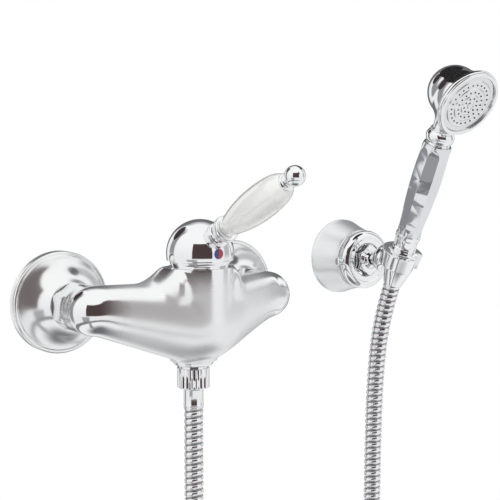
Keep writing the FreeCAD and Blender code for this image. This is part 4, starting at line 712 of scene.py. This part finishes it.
def route_line(points):
    """Points read from the NURBS spline through the route."""
    curve = bpy.data.curves.new("hose_route", "CURVE")
    curve.dimensions = "3D"
    curve.resolution_u = 24
    spline = curve.splines.new("NURBS")
    spline.points.add(len(points) - 1)
    for spot, point in zip(spline.points, points):
        spot.co = (*(c * MM for c in point), 1)
    spline.order_u = 3
    spline.use_endpoint_u = True
    route = bpy.data.objects.new("hose_route", curve)
    bpy.context.scene.collection.objects.link(route)
    bpy.context.view_layer.update()
    line = bpy.data.meshes.new_from_object(route)
    found = [vertex.co.copy() for vertex in line.vertices]
    bpy.data.objects.remove(route)
    bpy.data.meshes.remove(line)
    return found


def evenly(points, count):
    """The same line divided into equal steps, with the length of it."""
    marks = [0]
    for before, after in zip(points, points[1:]):
        marks.append(marks[-1] + (after - before).length)
    spots = []
    index = 0
    for step in range(count + 1):
        target = marks[-1] * step / count
        while index < len(points) - 2 and marks[index + 1] < target:
            index += 1
        share = (target - marks[index]) / max(marks[index + 1] - marks[index], 1e-12)
        spots.append(points[index].lerp(points[index + 1], min(max(share, 0), 1)))
    return spots, marks[-1]


def ribbed_tube(name, spots, length, pitch, sides=24):
    """A tube with a helical rib; the ridge attribute is 1 on the rib and 0 in the groove."""
    mesh = bpy.data.meshes.new(name)
    shape = bmesh.new()
    ridge = shape.verts.layers.float.new("ridge")
    side = Vector((1, 0, 0))
    rings = []
    for index, spot in enumerate(spots):
        ahead = (spots[min(index + 1, len(spots) - 1)] - spots[max(index - 1, 0)]).normalized()
        side = (side - ahead * side.dot(ahead)).normalized()
        other = ahead.cross(side)
        travelled = length * index / (len(spots) - 1) / (pitch * MM)
        ring = []
        for corner in range(sides):
            angle = math.tau * corner / sides
            phase = (travelled - corner / sides) % 1
            crest = 0.5 - 0.5 * math.cos(math.tau * phase)
            crest = min(1, crest * 1.55) ** 0.8
            radius = (HOSE_GROOVE + (HOSE_RADIUS - HOSE_GROOVE) * crest) * MM
            vertex = shape.verts.new(spot + (side * math.cos(angle) + other * math.sin(angle)) * radius)
            vertex[ridge] = crest
            ring.append(vertex)
        rings.append(ring)
    for before, after in zip(rings, rings[1:]):
        for corner in range(sides):
            nxt = (corner + 1) % sides
            shape.faces.new((before[corner], before[nxt], after[nxt], after[corner]))
    shape.faces.new(rings[0][::-1])
    shape.faces.new(rings[-1])
    bmesh.ops.recalc_face_normals(shape, faces=shape.faces)
    for face in shape.faces:
        face.smooth = True
    shape.to_mesh(mesh)
    shape.free()
    piece = bpy.data.objects.new(name, mesh)
    bpy.context.scene.collection.objects.link(piece)
    return piece


def tie_block(name, radius, height):
    """A block with round ends about the two turns that pass on the mixer's side."""
    near, far = (Place(0, COIL_START + COIL_STEP * turns, COIL_LEVEL) for turns in (0, 2))
    piece = drum(name, near, radius, -height / 2, height / 2, 48)
    piece = combined(piece, drum("tie_far", far, radius, -height / 2, height / 2, 48), "UNION")
    middle = slab("tie_middle", near.at(y=COIL_STEP), radius * 2, COIL_STEP * 2, height)
    return combined(piece, middle, "UNION")


class MIXER_OT_hose(bpy.types.Operator):
    """Adds the ribbed metal hose along its route, and the tie round its coil"""

    bl_idname = "mixer.hose"
    bl_label = "Hose"

    def execute(self, context):
        line = route_line(LEG_LEFT + coil_points() + LEG_RIGHT)
        pitch = context.scene.mixer_settings.rib_pitch
        rings_per_rib = 8
        count = int(evenly(line, 10)[1] / (pitch * MM) * rings_per_rib)
        spots, length = evenly(line, count)
        piece = ribbed_tube("hose", spots, length, pitch)
        piece.data.materials.append(finishes["hose_groove_shaded"])
        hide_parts("hose_leg_mixer", "hose_coil", "hose_leg_handset")
        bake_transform(piece)
        tie = combined(tie_block("hose_tie_band", 8.9, 9), tie_block("tie_room", 7.4, 11))
        smooth(bevelled(tie, 0.4, 40))
        dressed(tie, "hose_tie", "tie_plastic")
        return {"FINISHED"}


# The mixer.
FLUTES = 22
DOME_INSIDE = 23.1
DOME_OUTSIDE = 24.52
DOME_RIM = -5
LIFT = 18


def ring_across(name, x, out, low, high, half_depth, full):
    """A ring of 64 points across X, an ellipse with a fuller upper front quarter."""
    clear()
    middle = BAR.z + (high + low) / 2
    half_height = (high - low) / 2
    spot = (x * MM, -out * MM, middle * MM)
    bpy.ops.mesh.primitive_circle_add(vertices=64, radius=MM, location=spot, rotation=(0, math.pi / 2, 0))
    ring = named(name)
    ring.scale = (half_height, half_depth, 1)
    settle(ring)
    for vertex in ring.data.vertices:
        up = (vertex.co.z / MM - middle) / half_height
        forward = (-out - vertex.co.y / MM) / half_depth
        if up > 0 and forward > 0:
            reach = (up**full + forward**full) ** (1 / full)
            vertex.co.z = (middle + half_height * up / reach) * MM
            vertex.co.y = (-out - half_depth * forward / reach) * MM
    return ring


def lofted(name, rings):
    """One closed skin over a row of rings."""
    skin = joined(name, rings)
    editing(skin, "EDGE")
    bpy.ops.mesh.bridge_edge_loops()
    bpy.ops.mesh.select_all(action="DESELECT")
    bpy.ops.mesh.select_non_manifold(extend=False)
    bpy.ops.mesh.fill_holes(sides=0)
    object_mode()
    return cleaned(skin)


def cast(name, parts, voxel, passes):
    """Parts melted into one skin with soft inner corners, as a casting has."""
    piece = joined(name, parts)
    activate(piece)
    piece.data.remesh_voxel_size = voxel * MM
    bpy.ops.object.voxel_remesh()
    return modified(piece, "SMOOTH", factor=0.5, iterations=passes)


def trimmed(piece, point, outward):
    """Cuts off what lies beyond a plane and closes the cut."""
    editing(piece)
    bpy.ops.mesh.bisect(
        plane_co=[c * MM for c in point], plane_no=outward, use_fill=True, clear_outer=True
    )
    object_mode()
    return piece


# Stations of the bar (x, out from the wall, half depth) and of the saddle (the same and its rise).
BAR_STATIONS = [(75, 57, 16.9), (62, 59.5, 19), (46, 64, 21.8), (24, 72, 24.8), (0, 76.4, 27.2)]
SADDLE_STATIONS = [
    (47, 61.5, 14, 0), (40, 65, 17.5, 1.2), (34, 68.5, 20, 4), (29, 72, 21.5, 8.5),
    (25, 75, 22.3, 14),
]
BAR_SPARE = 0.7
BAR_TOP = 17.3 + BAR_SPARE
SADDLE_LOW = -8
SADDLE_HIGH = 17


def bar_at(x):
    """Distance from the wall and half depth of the bar at a place along it."""
    pairs = zip(BAR_STATIONS, BAR_STATIONS[1:])
    for (far, far_out, far_depth), (near, near_out, near_depth) in pairs:
        if abs(x) >= near:
            share = min((far - abs(x)) / (far - near), 1) if abs(x) < far else 0
            return far_out + (near_out - far_out) * share, far_depth + (near_depth - far_depth) * share
    return BAR_STATIONS[-1][1:]


def underside(x):
    """Height of the bar's underside, which rises from the outlet boss to the elbows."""
    boss = 15.6
    share = max(abs(x) - boss, 0) / (75 - boss)
    return -39 + 22 * share - BAR_SPARE


class MIXER_OT_body(bpy.types.Operator):
    """Adds the cast body: bar, elbows, flared column and outlet boss in one smooth skin"""

    bl_idname = "mixer.body"
    bl_label = "Body"

    def execute(self, context):
        rings = []
        for index in range(51):
            x = 3 * index - 75
            nearby = [bar_at(x + shift) for shift in (-8, -4, 0, 4, 8)]
            out, depth = (sum(column) / len(nearby) for column in zip(*nearby))
            name = f"bar_ring_{index}"
            rings.append(ring_across(name, x, out, underside(x), BAR_TOP, depth + BAR_SPARE, 2.7))
        parts = [lofted("body_skin", rings)]
        row = [(-x, *sizes) for x, *sizes in SADDLE_STATIONS] + SADDLE_STATIONS[::-1]
        rings = [
            ring_across(f"saddle_ring_{index}", x, out, SADDLE_LOW, SADDLE_HIGH + rise, depth, 2.4)
            for index, (x, out, depth, rise) in enumerate(row)
        ]
        parts.append(lofted("saddle", rings))
        parts.append(drum("column", COLUMN, 23.6, -12, 37))
        parts.append(drum("boss", OUTLET, 16.8, 0, 47))
        for word, wall in WALLS.items():
            parts.append(ball(f"elbow_{word}", Place(wall.x, BAR.y, BAR.z), 18))
            parts.append(drum(f"elbow_pipe_{word}", wall, 17.5, 33, 57))
        piece = cast("mixer_skin", parts, 1.25, 40)
        trimmed(piece, (0, 0, 37), (0, 0, 1))
        trimmed(piece, (0, 0, -33), (0, 0, -1))
        trimmed(piece, (0, -38.4, 0), (0, 1, 0))
        dressed(smooth(bevelled(piece, 0.7, 50), 40), "mixer_body", "chrome_cast")
        return {"FINISHED"}


class MIXER_OT_inlets(bpy.types.Operator):
    """Adds the wall flanges, the hex union nuts and the rings between nut and elbow"""

    bl_idname = "mixer.inlets"
    bl_label = "Wall flanges and nuts"

    def execute(self, context):
        for word, wall in WALLS.items():
            turned_part(f"flange_{word}", f"wall_flange_{word}", wall, [
                (36.8, 0), (38, 0), (38, 6.4), bow(0.5, 36.4, 8), (35.4, 8), (35, 8.5),
                bow(-2.9, 16.6, 23), (13.5, 23), (13.5, 21.8), (15.4, 21.8), bow(2.9, 34.4, 6.8),
                (36.8, 6.8),
            ], "chrome_soft", steps=128, arc_steps=20)
            hex_nut(f"nut_{word}", f"union_nut_{word}", wall, (17.32, 24.3, 38), [
                (0, 24.3), (16, 24.3), bow(0.3, 17.5, 25.6), (17.5, 36.4), bow(0.3, 15.2, 38),
                (0, 38),
            ], bore=(12.1, 20, 40), edge=(0.5, 22))
            lip = turned(f"elbow_lip_{word}", wall, [
                (12.2, 38.1), (14.6, 38.1), bow(0.45, 15.6, 39.2), (15.6, 40.6), bow(0.3, 14.4, 41.6),
                (12.2, 41.6),
            ], arc_steps=8)
            dressed(lip, body="mixer")
        return {"FINISHED"}


class MIXER_OT_outlet(bpy.types.Operator):
    """Adds the disc under the body, the fluted hose nut and the crimped hose ferrule"""

    bl_idname = "mixer.outlet"
    bl_label = "Hose outlet"

    def execute(self, context):
        turned_part("outlet_ring", "outlet_disc", OUTLET, [
            (10.8, 41.05), (14.3, 41.05), bow(0.2, 14.5, 41.6), (14.5, 43), bow(0.3, 13.5, 44),
            (10.8, 44),
        ])
        flute = 360 / FLUTES
        nut = drum("fluted_nut", OUTLET, 11.95, 46.3, 60.8, FLUTES * 4)
        editing(nut, "FACE")
        bpy.ops.mesh.select_all(action="DESELECT")
        object_mode()
        for face in nut.data.polygons:
            middle = face.center - OUTLET.point()
            turn = math.degrees(math.atan2(middle.y, middle.x)) % flute
            face.select = abs(face.normal.z) < 0.5 and turn < flute / 2
        bpy.ops.object.mode_set(mode="EDIT")
        bpy.ops.mesh.inset(thickness=0.9 * MM, depth=0, use_even_offset=True)
        bpy.ops.transform.resize(value=(0.925, 0.925, 1), center_override=OUTLET.point())
        object_mode()
        dressed(smooth(bevelled(nut, 0.45, 24, 2), 30), "hose_nut_lower")
        turned_part("ferrule_lower", "hose_ferrule_lower", OUTLET, [
            (0, 60.4), (8, 60.8), bow(0.3, 8, 62.2), (7.2, 62.5), (7.2, 73.6),
            bow(0.25, 7.2, 75), (6.9, 75.2), (6.9, 76), (7.25, 76.3), (7.25, 76.8), (0, 76.8),
        ], "chrome_edge", edge=0.15, arc_steps=8)
        return {"FINISHED"}


class MIXER_OT_dome(bpy.types.Operator):
    """Adds the shroud round the column, the dome cap and the two-coloured index plug"""

    bl_idname = "mixer.dome"
    bl_label = "Dome cap"

    def execute(self, context):
        ring = turned("shroud_band", PIVOT, [
            (19.2, -9.8), (20.5, -9.8), bow(0.1, 20.85, -9.4), about(22.41, -4.7), (22.25, 5.4),
            (21.2, 5.6), (21.2, -4.7),
        ], steps=128)
        combined(ring, slab("front_room", PIVOT, 70, 46, 23, centre=(0, -26, 6.8)))
        dressed(smooth(ring), "shroud_ring")
        rim = (math.sqrt(DOME_INSIDE**2 - DOME_RIM**2), DOME_RIM)
        dome = turned("dome_skin", PIVOT, [
            rim, (24.15, DOME_RIM), bow(0.12, 24.2, -4), about(0, DOME_OUTSIDE), (0, DOME_INSIDE),
            about(*rim),
        ], steps=160, arc_steps=40, edge=0.25)
        lifted = Place(PIVOT.x, PIVOT.y, PIVOT.z, LIFT)
        combined(dome, slab("rim_relief", lifted, 98, 98, 24.5, centre=(0, 0, -21.45)))
        dressed(smooth(dome), "dome_cap")
        turned_part("index_dot", "index_plug", INDEX, [
            (0, 22.6), (4, 22.6), (4, 24.3), bow(0.08, 3.8, 24.6), (3.6, 24.5),
            bow(0.03, 0, 24.75),
        ], "index_colours", steps=48, edge=0.08)
        return {"FINISHED"}


class MIXER_OT_lever(bpy.types.Operator):
    """Adds the lever: saucer socket, ring, glazed grip, neck and end ball"""

    bl_idname = "mixer.lever"
    bl_label = "Lever"

    def execute(self, context):
        turned_part("socket_skin", "lever_socket", LEVER, [
            (0, 22.2), (9, 22.2), (9, 26.6), bow(0.3, 8.3, 27.3), (7.9, 27.6), (8.3, 28.1),
            bow(0.25, 8, 29), (7.4, 29.3), bow(-1.1, 9.5, 36.2), bow(0.25, 9.5, 37.5), (0, 37.5),
        ], arc_steps=12, edge=0.15)
        turned_part("grip_ring", "lever_collar", LEVER, [
            (0, 37.45), (8.5, 37.5), bow(0.3, 9.3, 38.4), (9.3, 39.2), bow(0.3, 8.3, 40.1), (0, 40.15),
        ], arc_steps=8)
        turned_part("glazed_grip", "ceramic_grip", LEVER, [
            (0, 40.1), (5.9, 40.1), bow(0.2, 6.5, 40.8), bow(1.75, 12.2, 88), bow(0.3, 11, 104.5),
            bow(0.35, 8.9, 112), bow(0.2, 6.2, 117), bow(0.1, 5.9, 117.55), (0, 117.6),
        ], "white_glaze", arc_steps=28, edge=0)
        turned_part("end_neck", "lever_neck", LEVER, [
            (0, 117.4), (5.9, 117.55), bow(0.3, 6.2, 118.5), (5.7, 119), (5, 119.2),
            bow(0.2, 4.9, 120.2), (4.2, 120.5), (3.8, 121), (3.8, 122), (0, 122.2),
        ], arc_steps=8, edge=0.12)
        turned_part("end_ball", "finial_ball", LEVER.at(z=127.68), [
            (0, -7), about(7, 0), about(2.2, 6.645), (1.9, 6.75), (1.7, 7), (0, 7.05),
        ], arc_steps=24, edge=0.1)
        return {"FINISHED"}


# The bracket and the hand shower.
class MIXER_OT_bracket(bpy.types.Operator):
    """Adds the wall bracket: cone, round collar, thumb screw and hex lock ring"""

    bl_idname = "mixer.bracket"
    bl_label = "Wall bracket"

    def execute(self, context):
        turned_part("bracket_skin", "bracket_cone", BRACKET, [
            (30, 0), (31.5, 0), (31.5, 0.8), (31.2, 1.2), bow(-0.25, 24.4, 25.4), bow(0.5, 22.8, 27),
            (17, 27), (17, 25.5), (22.6, 25.5),
        ], "chrome_pale", steps=128, edge=0.25)
        turned_part("collar_skin", "bracket_collar", BRACKET, [
            (13.6, 27), (21.6, 27), (21.9, 27.8), bow(0.5, 23.4, 29.4), bow(3, 18.6, 37.1),
            (18, 36.6), (15.2, 36.6), bow(0.4, 13.6, 35.6),
        ], steps=128, arc_steps=16, edge=0.2)
        screw = turned("thumb_screw_skin", Place(), [
            (0, 13.4), (1.6, 13.4), (1.6, 23.6), (2.8, 23.9), bow(0.2, 3.4, 25.2), (3.4, 27.8),
            bow(0.25, 2.6, 28.9), (0, 28.9),
        ], steps=32, edge=0.1)
        screw.rotation_euler = (0, -math.pi / 2, 0)
        screw.location = BRACKET.at(z=31.5).point()
        dressed(settle(screw), "bracket_thumb_screw", "chrome_edge")
        hex_nut("lock_nut", "bracket_lock_ring", BRACKET, (12.7, 32, 40.5), [
            (0, 31), (13, 31), (13, 39.2), bow(0.3, 11.2, 40.6), (0, 40.6),
        ], bore=(7.5, 28, 45), edge=(0.4, 24))
        return {"FINISHED"}


class MIXER_OT_holder(bpy.types.Operator):
    """Adds the swivel arm with its knuckle and the slotted holder ring, as one casting"""

    bl_idname = "mixer.holder"
    bl_label = "Holder arm"

    def execute(self, context):
        arm = turned("holder_skin", BALL, [
            (0, -8.7), about(8.7, 0), about(4.9, 7.2), bow(-1.2, 10.6, 26), (0, 27),
        ], arc_steps=14, edge=0)
        knuckle = ball("knuckle", KNUCKLE, 12.5)
        outside = turned("ring_outside", RING, [(0, -7), (15.4, -7), (16.8, 7), (0, 7)], edge=0)
        piece = cast("holder_casting", [arm, knuckle, outside], 0.75, 5)
        room = [(0, -24), (11.98, -24), (11.98, -7), (12.68, 7), (12.68, 24), (0, 24)]
        combined(piece, turned("ring_room", RING, room, edge=0))
        slot = Place(RING.x, RING.y, RING.z, RING.turn, 28)
        combined(piece, slab("ring_slot", slot, 16, 33.2, 50, centre=(0, -16.6, 0)))
        dressed(smooth(bevelled(piece, 0.5, 45, 2), 38), "holder_arm")
        return {"FINISHED"}


def octagon(name, height, radius_to_flat):
    clear()
    half = math.pi / 8
    corner = radius_to_flat / math.cos(half) * MM
    spot = (0, 0, height * MM)
    bpy.ops.mesh.primitive_circle_add(vertices=8, radius=corner, location=spot, rotation=(0, 0, half))
    return settle(named(name))


BARREL_LOW = 23
BARREL_HIGH = 102
# Heights of the eight flats with the distance from the axis to a flat.
BARREL_HEIGHTS = [
    (22.9, 9.2), (26, 9.55), (30, 9.95), (36, 10.5), (44, 11.25), (52, 11.9), (62, 12.5), (73.5, 12.8),
    (82, 12.65), (90, 12.25), (95, 11.9), (99, 11.45), (102.1, 11),
]


class MIXER_OT_grip(bpy.types.Operator):
    """Adds the cone nut, ferrule, faceted grip and round collar of the hand shower"""

    bl_idname = "mixer.grip"
    bl_label = "Hand shower grip"

    def execute(self, context):
        turned_part("cone_nut_skin", "hose_nut_upper", RING, [
            (0, -23), (7.2, -23), bow(0.3, 7.9, -22.2), (11.85, -7), (12.55, 7), bow(0.2, 12, 8),
            (0, 8),
        ], edge=0.2)
        turned_part("sleeve_skin", "handset_ferrule", RING, [
            (0, 6), (9.6, 6), (9.6, 10.4), bow(0.25, 9.6, 12), (9.2, 12.4), (9.2, 18.6),
            bow(0.2, 10, 20), (10, 22.4), bow(0.2, 9.4, 23), (0, 23.05),
        ], edge=0.15, arc_steps=8)
        barrel = turned("barrel", Place(), [
            (0, BARREL_LOW), (9.2, BARREL_LOW), bow(0.7, 12.8, 73.5), bow(0.9, 11, BARREL_HIGH),
            (0, BARREL_HIGH),
        ], arc_steps=24, edge=0)
        rings = []
        for index, (height, radius) in enumerate(BARREL_HEIGHTS):
            from_end = min(height - BARREL_LOW, BARREL_HIGH - height)
            share = min(1, max(0, (from_end - 1) / 9))
            share = share * share * (3 - 2 * share)
            rings.append(octagon(f"flat_{index}", height, radius * (1.01 - 0.082 * share)))
        combined(barrel, lofted("flats", rings), "INTERSECT")
        settle(barrel, RING)
        barrel.name = "faceted_grip"
        # The grip's finish carries painted shade: a darker base colour than the other chrome.
        dressed(smooth(bevelled(barrel, 0.25, 9, 2), 18), "handset_grip", "chrome_wavy_shaded")
        turned_part("collar_round", "handset_collar", RING, [
            (0, 101.9), (9, 102), bow(0.25, 9.4, 103), (8.9, 103.4), bow(2.3, 8.9, 113.4),
            (9.2, 113.8), bow(0.2, 8.8, 114.9), (0, 115),
        ], arc_steps=12, edge=0.12)
        return {"FINISHED"}


class MIXER_OT_head(bpy.types.Operator):
    """Adds the round head on its flared neck, and the rim round the spray face"""

    bl_idname = "mixer.head"
    bl_label = "Hand shower head"

    def execute(self, context):
        neck = turned("head_skin", RING, [
            (0, 108), (8, 108), (8, 117), bow(-1.4, 11.8, 128), (6, 134), (0, 134),
        ], edge=0)
        back = turned("head_back", FACE, [
            (0, -20.6), about(20.6, 1), bow(0.6, 22.5, 12.5), (22.5, 17), (0, 17),
        ], arc_steps=30, edge=0)
        piece = cast("head_casting", [neck, back], 0.7, 24)
        for place, way in ((RING.at(z=114.6), -1), (FACE.at(z=12.3), 1)):
            outward = place.matrix().to_3x3() @ Vector((0, 0, way))
            trimmed(piece, (place.x, place.y, place.z), outward)
        dressed(smooth(piece, 50), "handset_head")
        turned_part("rim_skin", "head_rim", FACE, [
            (20.8, 11), (22.3, 11), bow(-0.5, 26.4, 14.3), bow(0.9, 26.6, 18), bow(0.35, 25.6, 19.3),
            (24.3, 19.3), bow(0.2, 23.7, 18.7), (23.7, 13.9), (20.8, 13.9),
        ], steps=128, edge=0.2)
        return {"FINISHED"}


# Rows of jets: how many, the radius of the row and the height of its step.
JET_ROWS = [(24, 16.5, 18.6), (16, 10.75, 19.4), (9, 5.9, 20.2)]


class MIXER_OT_spray(bpy.types.Operator):
    """Adds the stepped spray plate, its rows of jets and the cross screw in the middle"""

    bl_idname = "mixer.spray"
    bl_label = "Spray face"

    def execute(self, context):
        turned_part("spray_plate_skin", "spray_plate", FACE, [
            (0, 15.4), (23.6, 15.4), (23.6, 17.8), (20.1, 17.8), bow(0.1, 18.9, 18.6), (14.2, 18.6),
            bow(0.1, 13, 19.4), (8.5, 19.4), bow(0.1, 7.3, 20.2), (0, 20.2),
        ], "plate_satin", steps=128, edge=0.18, arc_steps=4)
        first = bevelled(drum("jets", Place(), 0.88, -0.8, 0.3, 12, top_radius=0.66), 0.12, 40, 2)
        copies = []
        for count, radius, level in JET_ROWS:
            for index in range(count):
                turn = math.tau * index / count
                spot = (radius * math.cos(turn), radius * math.sin(turn), level)
                copies.append(copied(first, "jet_copy", spot))
        bpy.data.objects.remove(first)
        jets = smooth(settle(joined("jets", copies), FACE), 40)
        dressed(jets, finish="seal_rubber", body=body_of["spray_plate"])
        screw = turned("cross_screw", Place(), [
            (0, 19.8), (3.1, 19.8), (3.1, 20.6), bow(0.35, 0, 21.6),
        ], steps=48, edge=0.1)
        for width, depth in ((4, 0.8), (0.8, 4)):
            combined(screw, slab("cross", Place(), width, depth, 2, centre=(0, 0, 21.9)))
        dressed(smooth(settle(screw, FACE)), "face_screw", "chrome_edge")
        return {"FINISHED"}


shown_chrome = ("outlet_nipple", "ball_seat", "bracket_wall_plate")


class MIXER_OT_carried(bpy.types.Operator):
    """Gives every CAD node that still shows or could show its own finish"""

    bl_idname = "mixer.carried"
    bl_label = "Carried CAD nodes"

    def execute(self, context):
        for name, node in nodes.items():
            finish_name = "chrome_edge" if name in shown_chrome else carried_finish[slot_of[name]]
            node.data.materials.clear()
            node.data.materials.append(finishes[finish_name])
        return {"FINISHED"}


class MIXER_PG_settings(bpy.types.PropertyGroup):
    """Sizes and colours that a user may change"""

    chrome: bpy.props.FloatVectorProperty(
        name="Chrome", description="Colour of the chrome", subtype="COLOR", default=(0.93, 0.935, 0.94)
    )
    chrome_shade: bpy.props.FloatVectorProperty(
        name="Chrome shade", description="Duller chrome tone", subtype="COLOR", default=(0.89, 0.895, 0.9)
    )
    glaze: bpy.props.FloatVectorProperty(
        name="Glaze", description="Colour of the glazed grip", subtype="COLOR", default=(0.9, 0.9, 0.88)
    )
    glaze_shade: bpy.props.FloatVectorProperty(
        name="Glaze shade", description="Second glaze tone", subtype="COLOR", default=(0.86, 0.87, 0.85)
    )
    rib_pitch: bpy.props.FloatProperty(
        name="Rib pitch", description="Distance between two ribs of the hose in millimetres", default=5.0
    )
    plain_light: bpy.props.FloatProperty(
        name="Plain light", description="Strength of the even light", default=0.72
    )
    lamp_power: bpy.props.FloatProperty(
        name="Lamp", description="Power of the soft lamp", default=9.0, unit="POWER"
    )
    lens: bpy.props.FloatProperty(
        name="Lens", description="Focal length of the camera", default=90.05, unit="CAMERA"
    )


PIECE_OPERATORS = (
    MIXER_OT_body, MIXER_OT_inlets, MIXER_OT_outlet, MIXER_OT_dome, MIXER_OT_lever, MIXER_OT_bracket,
    MIXER_OT_holder, MIXER_OT_grip, MIXER_OT_head, MIXER_OT_spray, MIXER_OT_hose, MIXER_OT_carried,
    MIXER_OT_stage,
)


class MIXER_PT_pieces(bpy.types.Panel):
    """Lists the pieces of the shower mixer"""

    bl_idname = "MIXER_PT_pieces"
    bl_label = "Shower mixer"
    bl_space_type = "VIEW_3D"
    bl_region_type = "UI"
    bl_category = "Mixer"

    def draw(self, context):
        settings = context.scene.mixer_settings
        for name in ("chrome", "chrome_shade", "glaze", "glaze_shade", "rib_pitch", "plain_light"):
            self.layout.prop(settings, name)
        for operator in PIECE_OPERATORS:
            self.layout.operator(operator.bl_idname)


CLASSES = (MIXER_PG_settings, *PIECE_OPERATORS, MIXER_PT_pieces)


def register():
    for entry in CLASSES:
        bpy.utils.register_class(entry)
    bpy.types.Scene.mixer_settings = bpy.props.PointerProperty(type=MIXER_PG_settings)


def unregister():
    del bpy.types.Scene.mixer_settings
    for entry in reversed(CLASSES):
        bpy.utils.unregister_class(entry)


def main():
    register()
    make_finishes(bpy.context.scene.mixer_settings)
    for operator in PIECE_OPERATORS:
        group, call = operator.bl_idname.split(".")
        getattr(getattr(bpy.ops, group), call)()
    clear()


if __name__ == "__main__":
    main()
